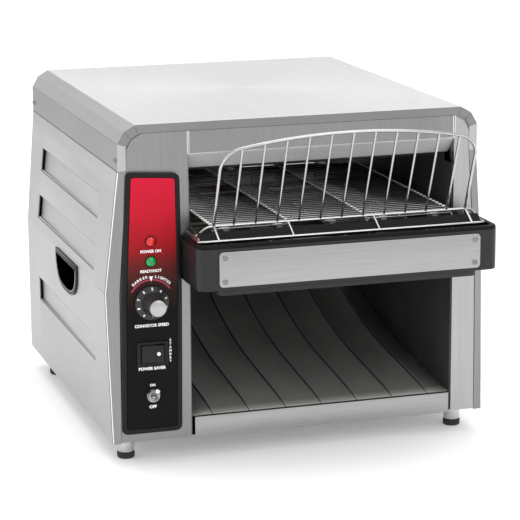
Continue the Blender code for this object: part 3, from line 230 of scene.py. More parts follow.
def thicken(piece, thickness, rim, offset=-1.0):
    """Give a folded surface its sheet thickness and ease its cut edges."""
    wall = piece.modifiers.new("sheet", "SOLIDIFY")
    wall.thickness = thickness
    wall.offset = offset
    wall.use_even_offset = True
    ease = piece.modifiers.new("eased_edges", "BEVEL")
    ease.width = rim
    ease.segments = 2
    ease.limit_method = "ANGLE"
    ease.angle_limit = math.radians(50)
    even_shading(piece)


def round_bends(shape, edges, radius, segments=4):
    """Round chosen edges of a bmesh, and return the new faces along them."""
    return bmesh.ops.bevel(shape, geom=list(edges), offset=radius, offset_type="OFFSET",
                           segments=segments, affect="EDGES", profile=0.5, material=-1,
                           clamp_overlap=True)["faces"]


def sharp_edges(shape, least):
    """The edges where two faces meet at more than an angle in degrees."""
    return [edge for edge in shape.edges if edge.is_manifold
            and edge.calc_face_angle(0) > math.radians(least)]


def face_towards(shape, direction):
    """Make the faces agree, and turn them so that on balance they look one way."""
    bmesh.ops.recalc_face_normals(shape, faces=shape.faces)
    facing = sum(face.normal.dot(direction) * face.calc_area() for face in shape.faces)
    if facing < 0:
        bmesh.ops.reverse_faces(shape, faces=shape.faces)


def extrude_face(shape, face, push):
    """Push a face out into a block."""
    moved = bmesh.ops.extrude_face_region(shape, geom=[face])["geom"]
    tips = [item for item in moved if isinstance(item, bmesh.types.BMVert)]
    bmesh.ops.translate(shape, verts=tips, vec=push)


# ------------------------------------------------------------------ top cover
# One stainless sheet, folded twice at each side, so that each corner shows two narrow facets.
# Its front and rear edges turn in as tabs, and a slit is left between the tabs at each fold.
cover_low, cover_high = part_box("top_cover")
sheet = 0.0012
corner = 0.0188
facet_across = corner * math.cos(math.radians(30)) / (
    math.sin(math.radians(30)) + math.cos(math.radians(30)))
facet_down = facet_across * math.tan(math.radians(30))
right_half = [(cover_high.x, cover_low.z), (cover_high.x, cover_high.z - corner),
              (cover_high.x - corner + facet_across, cover_high.z - facet_down),
              (cover_high.x - corner, cover_high.z)]
cover_section = [(-x, z) for x, z in right_half] + right_half[::-1]
tab_depth = 0.009
fold_radius = 0.0009
cut_rim = 0.0003

cover_shape = bmesh.new()
front_row = [cover_shape.verts.new((x, cover_low.y, z)) for x, z in cover_section]
rear_row = [cover_shape.verts.new((x, cover_high.y, z)) for x, z in cover_section]
for k in range(len(cover_section) - 1):
    cover_shape.faces.new((front_row[k], front_row[k + 1], rear_row[k + 1], rear_row[k]))
for row, outward in ((front_row, -1), (rear_row, 1)):
    for k in range(len(row) - 1):
        first = row[k].co
        second = row[k + 1].co
        along = (second - first).normalized()
        inward = Vector((along.z, 0, -along.x)) * tab_depth
        mitre = tab_depth * math.tan(math.radians(15)) + 0.0003
        start = mitre if k > 0 else 0.0
        stop = mitre if k < len(row) - 2 else 0.0
        inner = [cover_shape.verts.new(first + inward + along * start),
                 cover_shape.verts.new(second + inward - along * stop)]
        face = cover_shape.faces.new((row[k], inner[0], inner[1], row[k + 1]))
        if outward > 0:
            face.normal_flip()
face_towards(cover_shape, Vector((0, 0, 1)))
long_folds = [edge for edge in cover_shape.edges
              if edge.is_manifold and abs(edge.verts[0].co.y - edge.verts[1].co.y) > 0.1]
round_bends(cover_shape, long_folds, 0.0011, 3)
round_bends(cover_shape, sharp_edges(cover_shape, 60), fold_radius, 3)
# Each face takes a copy of the steel by the way it faces: painted light on the top, and painted
# shade on the side bands, the facets and the front tabs.
for face in cover_shape.faces:
    facing_up = face.normal.z
    face.material_index = 0 if facing_up > 0.93 else (2 if facing_up > 0.3 else 1)
    middle = face.calc_center_median()
    if face.normal.y < -0.7 and middle.z < cover_high.z - corner:
        face.material_index = 3
cover = settle("cover_sheet", cover_shape, top_steel_lit, replaced=["top_cover"])
# The front tabs' copy of the steel is painted shade.
tab_steel_shaded = brushed_steel("tab_stainless_painted_shade", 0.44, (900, 900, 14), 0.25)
for steel in (band_steel_shaded, facet_steel_shaded, tab_steel_shaded):
    cover.data.materials.append(steel)
thicken(cover, sheet, cut_rim)
gusset_shape = bmesh.new()
gusset_reach, gusset_sheet = 0.034, 0.0005
for side in (-1, 1):
    gusset_middle = Vector((side * (cover_high.x - gusset_reach),
                            cover_high.z - gusset_reach))
    outline = [Vector((side * x, z)) for x, z in right_half]
    outline = [outline[0].lerp(outline[1], 0.7)] + outline[1:]
    outline.append(outline[-1] - Vector((side * 0.010, 0)))
    for y in (cover_low.y + sheet + 0.0002, cover_high.y - sheet - 0.0007):
        for first, second in zip(outline, outline[1:]):
            corners = [gusset_middle + (point - gusset_middle) * share
                       for point, share in ((first, 0.88), (second, 0.88),
                                            (second, 0.5), (first, 0.5))]
            ring = [gusset_shape.verts.new((point.x, y, point.y)) for point in corners]
            extrude_face(gusset_shape, gusset_shape.faces.new(ring), (0, gusset_sheet, 0))
bmesh.ops.remove_doubles(gusset_shape, verts=gusset_shape.verts, dist=1e-6)
bmesh.ops.recalc_face_normals(gusset_shape, faces=gusset_shape.faces)
settle("cover_corner_gussets", gusset_shape, band_steel_shaded)


# ------------------------------------------------------------------ side panels
# Each side is one creased sheet with three pressed louvres, open as a slit at the rear end.
# Its front and rear edges turn in, and take a darker copy of the steel as painted shade; the
# louvres' rims are painted shade too. A black strip of painted shade and a bright strip of painted
# highlight run along the front fold, and a black strip of painted shade runs along its top, under
# the cover.
panel_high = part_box("right_side_panel")[1]
panel_top = panel_high.z
crease_z = sheet_z + 0.157
crease_x = panel_high.x
shoulder_x = cover_high.x
foot_x = 0.2052
rib_rows = ((0.073, 0.099), (0.171, 0.197), (0.2255, 0.2515))
rib_front, rib_rear = face_y + 0.068, face_y + 0.350
rib_wall, rib_depth, rib_ramp = 0.0016, 0.0012, 0.0024
cup_y = face_y + 0.190
cup_top = sheet_z + 0.1555


def side_x(height):
    """Half width of the side panels at a height above the counter."""
    if height >= crease_z:
        share = (height - crease_z) / (panel_top - crease_z)
        return crease_x + share * (shoulder_x - crease_x)
    share = (height - sheet_z) / (crease_z - sheet_z)
    return foot_x + share * (crease_x - foot_x)


def crease_share(height):
    """1 at the crease, 0 at the top and bottom edges."""
    if height >= crease_z:
        return (panel_top - height) / (panel_top - crease_z)
    return (height - sheet_z) / (crease_z - sheet_z)


def cup_outline(grow, count=28):
    """The finger cup's outline: a flat top and a deep round bottom."""
    points = []
    for step in range(count + 1):
        angle = math.pi * step / count
        across = math.copysign(abs(math.cos(angle)) ** 0.75, math.cos(angle))
        points.append((cup_y + (0.049 + grow) * across,
                       cup_top + grow - (0.034 + 2 * grow) * math.sin(angle) ** 0.75))
    return points


def cup_prism(grow, near, far):
    """A straight block of the cup's outline between two X planes."""
    shape = bmesh.new()
    ring = [shape.verts.new((near, y, z)) for y, z in cup_outline(grow)]
    extrude_face(shape, shape.faces.new(ring), (far - near, 0, 0))
    bmesh.ops.recalc_face_normals(shape, faces=shape.faces)
    return shape


def cut_with(piece, cutter_shape):
    """Cut a bmesh shape out of a piece and keep the result as the piece's mesh."""
    mesh = bpy.data.meshes.new("cutter")
    cutter_shape.to_mesh(mesh)
    cutter_shape.free()
    cutter = bpy.data.objects.new("cutter", mesh)
    scene.collection.objects.link(cutter)
    cut = piece.modifiers.new("cut", "BOOLEAN")
    cut.object = cutter
    cut.operation = "DIFFERENCE"
    cut.solver = "EXACT"
    bpy.context.view_layer.update()
    result = bpy.data.meshes.new_from_object(
        piece.evaluated_get(bpy.context.evaluated_depsgraph_get()))
    piece.modifiers.clear()
    piece.data = result
    bpy.data.objects.remove(cutter)
    piece.data.shade_smooth()
    piece.data.set_sharp_from_angle(angle=math.radians(35))


# A dark copy of the steel for the louvres' rims: painted shade along their pressed edges.
louvre_rim_shade_steel = brushed_steel("louvre_rim_painted_shade", 0.16, (700, 12, 900), 0.40)
for side, side_name in ((-1, "left"), (1, "right")):
    rib_ends = [sheet_z + rib_end for rib_row in rib_rows for rib_end in rib_row]
    heights = [sheet_z, *rib_ends[:2], crease_z, *rib_ends[2:], panel_top]
    columns = 6
    panel_shape = bmesh.new()
    grid = bmesh.ops.create_grid(panel_shape, x_segments=columns - 1,
                                 y_segments=len(heights) - 1, size=1.0)
    for vert in grid["verts"]:
        column = round((vert.co.x + 1) / 2 * (columns - 1))
        height = heights[round((vert.co.y + 1) / 2 * (len(heights) - 1))]
        share = crease_share(height)
        turned_in = side_x(height) - tab_depth - 0.003 * share
        places = ((turned_in, cover_low.y), (side_x(height), cover_low.y + 0.012 * share),
                  (side_x(height), rib_front), (side_x(height), rib_rear),
                  (side_x(height), cover_high.y - 0.010 * share), (turned_in, cover_high.y))
        vert.co = (side * places[column][0], places[column][1], height)
    face_towards(panel_shape, Vector((side, 0, 0)))
    rib_edges = set()
    for low, high in rib_rows:
        middle = sheet_z + (low + high) / 2
        rib = [face for face in panel_shape.faces
               if abs(face.calc_center_median().z - middle) < 0.005
               and rib_front < face.calc_center_median().y < rib_rear]
        rim = {edge for face in rib for edge in face.edges}
        bmesh.ops.inset_region(panel_shape, faces=rib, thickness=rib_wall, depth=-rib_depth)
        for vert in {vert for face in rib for vert in face.verts}:
            if vert.co.y > face_y + 0.2:
                vert.co.x -= side * rib_ramp
        panel_shape.normal_update()
        slit = [face for face in panel_shape.faces if face.normal.y < -0.5
                and rib_rear - 0.0032 < face.calc_center_median().y < rib_rear
                and sheet_z + low < face.calc_center_median().z < sheet_z + high]
        bmesh.ops.delete(panel_shape, geom=slit, context="FACES_ONLY")
        rib_edges |= rim
    rib_edges = {edge for edge in rib_edges if edge.is_valid
                 and edge.calc_face_angle(0) > math.radians(15)}
    # The louvres' rounded rims are painted shade.
    for face in round_bends(panel_shape, rib_edges, 0.0006, 2):
        face.material_index = 2
    crease = [edge for edge in panel_shape.edges if edge.is_manifold
              and all(abs(vert.co.z - crease_z) < 1e-5 for vert in edge.verts)
              and abs(edge.verts[0].co.x) > turned_in - 0.001]
    round_bends(panel_shape, crease, 0.0016, 3)
    folds = [edge for edge in sharp_edges(panel_shape, 30)
             if abs(edge.verts[0].co.z - edge.verts[1].co.z) > 0.003
             and not rib_front - 0.01 < edge.verts[0].co.y < rib_rear + 0.01]
    round_bends(panel_shape, folds, fold_radius, 3)
    # Faces that turn to the front or rear take the darker front steel: painted shade by the way
    # they face.
    for face in panel_shape.faces:
        if abs(face.normal.y) > 0.45 and face.material_index == 0:
            face.material_index = 1
    panel = settle(f"{side_name}_side_sheet", panel_shape, side_steel_shaded,
                   replaced=[f"{side_name}_side_panel"])
    panel.data.materials.append(front_steel_shaded)
    panel.data.materials.append(louvre_rim_shade_steel)
    thicken(panel, sheet, 0.00025)
    cut_with(panel, cup_prism(0.0004, side * 0.19, side * 0.215))


def add_block(shape, size, middle):
    """Add a rectangular block to a bmesh."""
    block = bmesh.ops.create_cube(shape, size=1.0)["verts"]
    bmesh.ops.scale(shape, verts=block, vec=size)
    bmesh.ops.translate(shape, verts=block, vec=middle)


# Thin black strips in the gaps under the cover and along the front folds are painted shade, and
# the bright strips beside the folds are a painted highlight.
gap_shade_shape = bmesh.new()
for side in (-1, 1):
    add_block(gap_shade_shape, (0.0012, cover_high.y - cover_low.y - 0.004, 0.0011),
              (side * (cover_high.x - 0.0004), (cover_low.y + cover_high.y) / 2,
               cover_low.z - 0.00015))
fold_highlight_shape = bmesh.new()
for side in (-1, 1):
    for low, high in ((sheet_z + 0.001, crease_z), (crease_z, panel_top - 0.0006)):
        for strip_shape, start, stop in ((fold_highlight_shape, -0.0001, 0.0009),
                                         (gap_shade_shape, 0.0005, 0.0032)):
            strip = bmesh.ops.create_cube(strip_shape, size=2.0)["verts"]
            for vert in strip:
                height = low if vert.co.z < 0 else high
                share = crease_share(height)
                fold = Vector((side_x(height), cover_low.y + 0.012 * share))
                along = Vector((-tab_depth - 0.003 * share, -0.012 * share)).normalized()
                outward = Vector((-along.y, along.x))
                if strip_shape is gap_shade_shape:
                    along, outward = Vector((0, 1)), Vector((1, 0))
                place = (fold + along * (start if vert.co.y < 0 else stop)
                         + outward * (0.00012 if vert.co.x > 0 else -0.0005))
                vert.co = (side * place.x, place.y, height)
            bmesh.ops.recalc_face_normals(strip_shape, faces=strip_shape.faces)


# ------------------------------------------------------------------ front pillars and header
# Two flat stainless plates stand either side of the mouth, each with a return along the opening.
# The right one is a lighter copy of the steel, painted light. The header between them is bent to a
# sloping lip that runs back under it, and the lip is a lighter copy of the steel, painted light. A
# black strip of painted shade, with a strip of painted highlight either side, parts it from each
# pillar.
def outline_of(node):
    """A CAD sheet's mesh with its doubled points merged and its flats made whole."""
    shape = bmesh.new()
    shape.from_mesh(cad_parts[node].data)
    bmesh.ops.remove_doubles(shape, verts=shape.verts, dist=0.00001)
    bmesh.ops.dissolve_limit(shape, angle_limit=math.radians(1), verts=shape.verts,
                             edges=shape.edges, use_dissolve_boundaries=False)
    return shape


def ease_rims(shape, radius, least=50, segments=2):
    """Ease every edge of a solid that is sharper than an angle."""
    round_bends(shape, sharp_edges(shape, least), radius, segments)


mouth_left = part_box("left_front_pillar")[1].x
mouth_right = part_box("right_front_pillar")[0].x
# The right pillar's steel is lighter than the left's: painted light.
right_steel_lit = brushed_steel("right_stainless_painted_light", 0.40, (900, 900, 14), 0.30)
for side_name, edge_x, inward, pillar_steel in (("left", mouth_left, -1, front_steel_shaded),
                                                ("right", mouth_right, 1, right_steel_lit)):
    pillar_shape = outline_of(f"{side_name}_front_pillar")
    ease_rims(pillar_shape, cut_rim)
    pillar = settle(f"{side_name}_pillar_sheet", pillar_shape, pillar_steel,
                    replaced=[f"{side_name}_front_pillar"])
    even_shading(pillar)
    flange_shape = bmesh.new()
    bmesh.ops.create_grid(flange_shape, x_segments=1, y_segments=1, size=0.5)
    for vert in flange_shape.verts:
        vert.co = (edge_x, face_y + 0.0004 + (vert.co.x + 0.5) * 0.011,
                   sheet_z + 0.002 + (vert.co.y + 0.5) * 0.318)
    flange = settle(f"{side_name}_mouth_return", flange_shape, pillar_steel)
    thicken(flange, inward * sheet, 0.00025, 1.0)

header_low, header_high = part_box("front_header")
lip_z = header_low.z + sheet / 2
bend_z = sheet_z + 0.2995
header_path = [(face_y, header_high.z), (face_y, bend_z), (face_y + 0.0175, lip_z),
               (header_high.y, lip_z)]
header_shape = bmesh.new()
left_row = [header_shape.verts.new((header_low.x, y, z)) for y, z in header_path]
right_row = [header_shape.verts.new((header_high.x, y, z)) for y, z in header_path]
for k in range(len(header_path) - 1):
    header_shape.faces.new((left_row[k], left_row[k + 1], right_row[k + 1], right_row[k]))
header_bends = [edge for edge in header_shape.edges if edge.is_manifold]
round_bends(header_shape, header_bends, 0.0012, 4)
for face in header_shape.faces:
    face.material_index = int(face.normal.z < -0.3)
# The lip's lighter steel is painted light.
lip_steel_lit = brushed_steel("lip_stainless_painted_light", 0.62, (900, 900, 14), 0.5, 0.3)
header = settle("header_sheet", header_shape, front_steel_shaded, replaced=["front_header"])
header.data.materials.append(lip_steel_lit)
thicken(header, sheet, 0.00025)
# At each seam a black strip of painted shade, with a bright strip of painted highlight either
# side.
for seam_x in (header_low.x - 0.0002, header_high.x + 0.0002):
    for strip_shape, x in ((gap_shade_shape, seam_x), (fold_highlight_shape, seam_x - 0.0008),
                           (fold_highlight_shape, seam_x + 0.0008)):
        add_block(strip_shape, (0.0007, 0.0008, header_high.z - bend_z),
                  (x, face_y + 0.0003, (header_high.z + bend_z) / 2))
painted_fold_highlight = brushed_steel("painted_fold_highlight", 0.86, (700, 700, 12), 0.18)
settle("fold_highlight_strips", fold_highlight_shape, painted_fold_highlight)


# ------------------------------------------------------------------ rear panel and base pan
# The rear sheet carries two groups of vent slots, the fan's hole and the cord gland's hole.
# The base pan is a shallow stainless tray that the feet screw into.
for node, piece_name in (("rear_panel", "rear_sheet"), ("base_pan", "base_sheet")):
    back_shape = outline_of(node)
    ease_rims(back_shape, 0.00022)
    even_shading(settle(piece_name, back_shape, side_steel_shaded, replaced=[node]))


# ------------------------------------------------------------------ screws
# Pan-head screws with a cross recess hold the cover, the front plate and the rear sheet.
def spin_profile(shape, points, axis, centre, steps, closed=False):
    """Spin a line of points a full turn round an axis, closed if it doesn't meet the axis."""
    line = [shape.verts.new(point) for point in points]
    ends = [(line[-1], line[0])] if closed else []
    edges = [shape.edges.new(pair) for pair in list(zip(line, line[1:])) + ends]
    bmesh.ops.spin(shape, geom=line + edges, axis=axis, cent=centre, angle=2 * math.pi,
                   steps=steps, use_merge=True)
    bmesh.ops.remove_doubles(shape, verts=shape.verts, dist=1e-6)


def screw_head(shape, centre, outward, radius, height):
    """Add one domed pan head with a cross recess to a bmesh."""
    head = bmesh.new()
    profile = [(0.0, height), (radius * 0.45, height * 0.96), (radius * 0.8, height * 0.72),
               (radius, height * 0.25), (radius, 0.0)]
    spin_profile(head, [(r, 0, h) for r, h in profile], (0, 0, 1), (0, 0, 0), 20)
    bmesh.ops.holes_fill(head, edges=[e for e in head.edges if e.is_boundary], sides=0)
    bmesh.ops.recalc_face_normals(head, faces=head.faces)
    solid = bpy.data.meshes.new("head")
    head.to_mesh(solid)
    head.free()
    holder = bpy.data.objects.new("head", solid)
    scene.collection.objects.link(holder)
    recess_long, recess_wide = radius * 1.1, radius * 0.24
    for size in ((recess_long, recess_wide), (recess_wide, recess_long)):
        recess = bmesh.new()
        add_block(recess, (*size, height * 0.9), (0, 0, height))
        cut_with(holder, recess)
    turn = Vector(outward).to_track_quat("Z", "Y").to_matrix().to_4x4()
    holder.data.transform(Matrix.Translation(centre) @ turn)
    shape.from_mesh(holder.data)
    bpy.data.objects.remove(holder)


screw_steel = brushed_steel("screw_steel", 0.26, (400, 400, 400), 0.16)
cover_screws = bmesh.new()
for side in (-1, 1):
    for y in (cover_low.y + 0.008, cover_high.y - 0.009):
        screw_head(cover_screws, (side * cover_high.x, y, cover_low.z + 0.0105),
                   (side, 0, 0), 0.0030, 0.0021)
settle("cover_screws", cover_screws, screw_steel)
rear_screws = bmesh.new()
for x, height in ((-0.180, 0.300), (0.180, 0.300), (-0.188, 0.020), (0.188, 0.020),
                  (0.0, 0.300), (0.0, 0.020)):
    screw_head(rear_screws, (x, cover_high.y, sheet_z + height), (0, 1, 0), 0.0032, 0.0021)
settle("rear_screws", rear_screws, screw_steel)


# ------------------------------------------------------------------ finger cups
# Each cup is one black moulding with a raised rim, and a thin bright trim inside the rim.
# The black strips of painted shade under the cover and along the folds are of the same plastic.
def moulded_plastic(name, colour, roughness, relief=0.08, specular=0.5, metallic=0.0):
    """Moulded plastic, rubber or coated metal: a fine texture and a faint uneven sheen."""
    material = bpy.data.materials.new(name)
    material.use_nodes = True
    nodes = material.node_tree.nodes
    links = material.node_tree.links
    shader = nodes["Principled BSDF"]
    shader.label = "moulded plastic"
    texture_frame = nodes.new("NodeFrame")
    texture_frame.label = "mould texture"
    sheen_frame = nodes.new("NodeFrame")
    sheen_frame.label = "uneven sheen"
    place = nodes.new("ShaderNodeTexCoord")
    place.label = "position on the moulding"
    texture = nodes.new("ShaderNodeTexNoise")
    texture.label = "fine texture"
    relief_node = nodes.new("ShaderNodeBump")
    relief_node.label = "texture relief"
    handling = nodes.new("ShaderNodeTexNoise")
    handling.label = "handling marks"
    sheen = nodes.new("ShaderNodeMapRange")
    sheen.label = "marks change the gloss"
    dust = nodes.new("ShaderNodeMix")
    dust.label = "colour with a little dust"
    for node, location in ((shader, (400, 100)), (place, (-900, 0)), (texture, (-650, -150)),
                           (relief_node, (-400, -200)), (handling, (-650, 200)),
                           (sheen, (-400, 200)), (dust, (-100, 300))):
        node.location = location
    for node in (texture, relief_node):
        node.parent = texture_frame
    for node in (handling, sheen):
        node.parent = sheen_frame

    texture.inputs["Scale"].default_value = 2400.0
    texture.inputs["Detail"].default_value = 2.0
    relief_node.inputs["Strength"].default_value = relief
    relief_node.inputs["Distance"].default_value = 0.0002
    handling.inputs["Scale"].default_value = 24.0
    handling.inputs["Detail"].default_value = 3.0
    sheen.inputs["To Min"].default_value = roughness - 0.05
    sheen.inputs["To Max"].default_value = roughness + 0.09
    dust.data_type = "RGBA"
    dust.inputs["A"].default_value = (*colour, 1)
    dust.inputs["B"].default_value = (*[c * 1.25 + 0.004 for c in colour], 1)
    shader.inputs["Specular IOR Level"].default_value = specular
    shader.inputs["Metallic"].default_value = metallic

    links.new(place.outputs["Object"], texture.inputs["Vector"])
    links.new(texture.outputs["Fac"], relief_node.inputs["Height"])
    links.new(relief_node.outputs["Normal"], shader.inputs["Normal"])
    links.new(place.outputs["Object"], handling.inputs["Vector"])
    links.new(handling.outputs["Fac"], sheen.inputs["Value"])
    links.new(sheen.outputs["Result"], shader.inputs["Roughness"])
    links.new(handling.outputs["Fac"], dust.inputs["Factor"])
    links.new(dust.outputs["Result"], shader.inputs["Base Color"])
    return material


def bridge_rings(shape, rings, joined=False, ends_open=False, pairs=None):
    """Join rings of points with faces and return each ring's edges.

    They are joined in turn, unless pairs lists which ring meets which.
    """
    loops = []
    for ring in rings:
        verts = [shape.verts.new(point) for point in ring]
        after = verts[1:] if ends_open else verts[1:] + verts[:1]
        loops.append([shape.edges.new(pair) for pair in zip(verts, after)])
    turns = [(k, (k + 1) % len(loops)) for k in range(len(loops) - (not joined))]
    for first, second in pairs or turns:
        bmesh.ops.bridge_loops(shape, edges=loops[first] + loops[second])
    return loops


cup_plastic = moulded_plastic("cup_plastic", (0.010, 0.010, 0.011), 0.42)
# The black strips of painted shade in the gaps.
settle("gap_painted_shade_strips", gap_shade_shape, cup_plastic, "casing")
trim_metal = brushed_steel("bright_trim", 0.50, (300, 300, 300), 0.25)
cup_section = ((0.0030, 0.0), (0.0030, 0.0013), (0.0024, 0.0019), (0.0004, 0.0019),
               (-0.0012, 0.0012), (-0.0022, -0.0005), (-0.0026, -0.0190), (-0.0050, -0.0215))
trim_section = ((-0.0010, 0.0012), (-0.0010, 0.0019), (-0.0016, 0.0021), (-0.0024, 0.0014),
                (-0.0024, 0.0))
moulding_wall = 0.0012
for side, side_name in ((-1, "left"), (1, "right")):
    face_x = side * (crease_x + 0.0003)
    cup_shape = bmesh.new()
    cup_loops = bridge_rings(cup_shape, [[(face_x + side * out, y, z)
                                          for y, z in cup_outline(grow)]
                                         for grow, out in cup_section])
    bmesh.ops.holes_fill(cup_shape, edges=cup_loops[-1], sides=0)
    face_towards(cup_shape, Vector((side, 0, 0)))
    cup = settle(f"{side_name}_finger_cup", cup_shape, cup_plastic, "casing",
                 [f"{side_name}_handle_cup"], sharp=50)
    cup_wall = cup.modifiers.new("wall", "SOLIDIFY")
    cup_wall.thickness = moulding_wall
    cup_wall.offset = -1
    trim_shape = bmesh.new()
    bridge_rings(trim_shape, [[(face_x + side * out, y, z) for y, z in cup_outline(grow)]
                              for grow, out in trim_section], joined=True)
    bmesh.ops.recalc_face_normals(trim_shape, faces=trim_shape.faces)
    settle(f"{side_name}_cup_trim", trim_shape, trim_metal, "casing", sharp=50)


# ------------------------------------------------------------------ toasting chamber
# The chamber's walls, roof and heat shield are plain sheet, browned and dulled by heat.
def heated_sheet(name, cold, burnt, roughness, specular=0.5):
    """Sheet steel with a patchy heat stain and a fine dull grain."""
    material = bpy.data.materials.new(name)
    material.use_nodes = True
    nodes = material.node_tree.nodes
    links = material.node_tree.links
    shader = nodes["Principled BSDF"]
    shader.label = "heat-stained steel"
    stain_frame = nodes.new("NodeFrame")
    stain_frame.label = "heat stain"
    place = nodes.new("ShaderNodeTexCoord")
    place.label = "position on the sheet"
    stain = nodes.new("ShaderNodeTexNoise")
    stain.label = "stain patches"
    colour = nodes.new("ShaderNodeValToRGB")
    colour.label = "cold to burnt"
    speck = nodes.new("ShaderNodeTexNoise")
    speck.label = "surface grain"
    dull = nodes.new("ShaderNodeMapRange")
    dull.label = "grain dulls it"
    relief = nodes.new("ShaderNodeBump")
    relief.label = "grain relief"
    for node, location in ((shader, (300, 0)), (place, (-900, 0)), (stain, (-650, 100)),
                           (colour, (-400, 200)), (speck, (-650, -200)), (dull, (-400, -150)),
                           (relief, (-150, -300))):
        node.location = location
    for node in (stain, colour):
        node.parent = stain_frame

    stain.inputs["Scale"].default_value = 14.0
    stain.inputs["Detail"].default_value = 5.0
    colour.color_ramp.elements[0].position = 0.3
    colour.color_ramp.elements[0].color = (*cold, 1)
    colour.color_ramp.elements[1].position = 0.75
    colour.color_ramp.elements[1].color = (*burnt, 1)
    speck.inputs["Scale"].default_value = 700.0
    dull.inputs["To Min"].default_value = roughness - 0.08
    dull.inputs["To Max"].default_value = roughness + 0.08
    relief.inputs["Strength"].default_value = 0.08
    relief.inputs["Distance"].default_value = 0.0002
    shader.inputs["Metallic"].default_value = 0.35
    shader.inputs["Specular IOR Level"].default_value = specular

    links.new(place.outputs["Object"], stain.inputs["Vector"])
    links.new(stain.outputs["Fac"], colour.inputs["Fac"])
    links.new(colour.outputs["Color"], shader.inputs["Base Color"])
    links.new(place.outputs["Object"], speck.inputs["Vector"])
    links.new(speck.outputs["Fac"], dull.inputs["Value"])
    links.new(dull.outputs["Result"], shader.inputs["Roughness"])
    links.new(speck.outputs["Fac"], relief.inputs["Height"])
    links.new(relief.outputs["Normal"], shader.inputs["Normal"])
    return material


def finish_node(node, material):
    """Give a CAD node that shows as it is its finish."""
    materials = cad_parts[node].data.materials
    materials.clear()
    materials.append(material)


wall_steel = heated_sheet("chamber_wall_steel", (0.10, 0.10, 0.10), (0.045, 0.043, 0.04), 0.42)
shield_steel = heated_sheet("shield_steel", (0.03, 0.029, 0.028), (0.012, 0.011, 0.010), 0.55,
                            0.1)
rod_steel = heated_sheet("heater_rod_steel", (0.10, 0.085, 0.07), (0.05, 0.035, 0.025), 0.45)
for node, steel in (("left_chamber_wall", wall_steel), ("right_chamber_wall", wall_steel),
                    ("chamber_roof", shield_steel), ("lower_heat_shield", shield_steel)):
    finish_node(node, steel)


def turned_piece(name, profile, start, direction, material, body, replaced=(),
                 steps=32, sharp=35):
    """A turned piece. The profile lists (radius, distance along its axis), tip first."""
    shape = bmesh.new()
    has_bore = profile[0][0] > 0 and profile[-1][0] > 0
    spin_profile(shape, [(r, 0, h) for r, h in profile], (0, 0, 1), (0, 0, 0), steps, has_bore)
    bmesh.ops.recalc_face_normals(shape, faces=shape.faces)
    turn = Vector(direction).to_track_quat("Z", "Y").to_matrix().to_4x4()
    bmesh.ops.transform(shape, matrix=Matrix.Translation(start) @ turn, verts=shape.verts)
    return settle(name, shape, material, body, replaced, sharp)


for row in ("upper", "lower"):
    for number in (1, 2, 3):
        node = f"{row}_heater_{number}"
        rod_low, rod_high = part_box(node)
        middle = (rod_low + rod_high) / 2
        half = (rod_high.x - rod_low.x) / 2
        end = [(0.0, half), (0.0018, half), (0.0020, half - 0.0002), (0.0020, half - 0.006),
               (0.0047, half - 0.006), (0.0050, half - 0.0063), (0.0050, half - 0.0197),
               (0.0047, half - 0.020), (0.0036, half - 0.020)]
        rod_profile = end + [(r, -h) for r, h in reversed(end)]
        turned_piece(f"{row}_heating_rod_{number}", rod_profile, middle, (1, 0, 0),
                     rod_steel, "casing", [node], 16)


# ------------------------------------------------------------------ discharge ramp
# The ramp is one sheet rolled to a quarter turn at the rear. Seven long beads are pressed along
# it, and the toast slides on them. It is dull satin steel. Its pale tone is partly painted light
# for the light reaching into the chamber, and one flank of each bead carries painted shade.
ramp_low, ramp_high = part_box("discharge_ramp")
ramp_bends = ((128.0, 0.0, 6.6), (0.0, 0.62, 19.5), (0.0, 0.175, 80.0))
ramp_line = [(face_y + 0.0035, sheet_z + 0.0226)]
heading = math.radians(6.6)
for straight, radius, end_heading in ramp_bends:
    y, z = ramp_line[-1]
    if straight:
        for step in range(1, 9):
            reach = straight * 0.001 * step / 8
            ramp_line.append((y + reach * math.cos(heading), z + reach * math.sin(heading)))
        continue
    steps = 8 if radius > 0.3 else 22
    turn_by = math.radians(end_heading) - heading
    for step in range(1, steps + 1):
        now = heading + turn_by * step / steps
        ramp_line.append((y + radius * (math.sin(now) - math.sin(heading)),
                          z + radius * (math.cos(heading) - math.cos(now))))
    heading = math.radians(end_heading)
ramp_middle = (mouth_left + mouth_right) / 2
bead_xs = [ramp_middle + 0.040 * k for k in range(-3, 4)]
bead_half, bead_rise = 0.0024, 0.0022
across = {ramp_low.x, ramp_high.x}
for bead_x in bead_xs:
    across |= {bead_x + bead_half * k / 4 for k in range(-4, 5)}
across = sorted(across)
ramp_shape = bmesh.new()
rows = []
for index, (y, z) in enumerate(ramp_line):
    before = Vector(ramp_line[max(index - 1, 0)])
    after = Vector(ramp_line[min(index + 1, len(ramp_line) - 1)])
    slope = (after - before).normalized()
    fade = min(1.0, index / 1.5)
    row = []
    for x in across:
        nearest = min(abs(x - bead_x) for bead_x in bead_xs)
        rise = bead_rise * fade * max(0.0, math.cos(min(nearest / bead_half, 1) * math.pi / 2))
        row.append(ramp_shape.verts.new((x, y - slope.y * rise, z + slope.x * rise)))
    rows.append(row)
for lower, upper in zip(rows, rows[1:]):
    for k in range(len(across) - 1):
        face = ramp_shape.faces.new((lower[k], lower[k + 1], upper[k + 1], upper[k]))
        # The left flank of each bead takes the dark steel: painted shade.
        middle = (across[k] + across[k + 1]) / 2
        face.material_index = int(any(-bead_half * 0.8 < middle - x < -bead_half * 0.3
                                      for x in bead_xs))
face_towards(ramp_shape, Vector((0, 0, 1)))
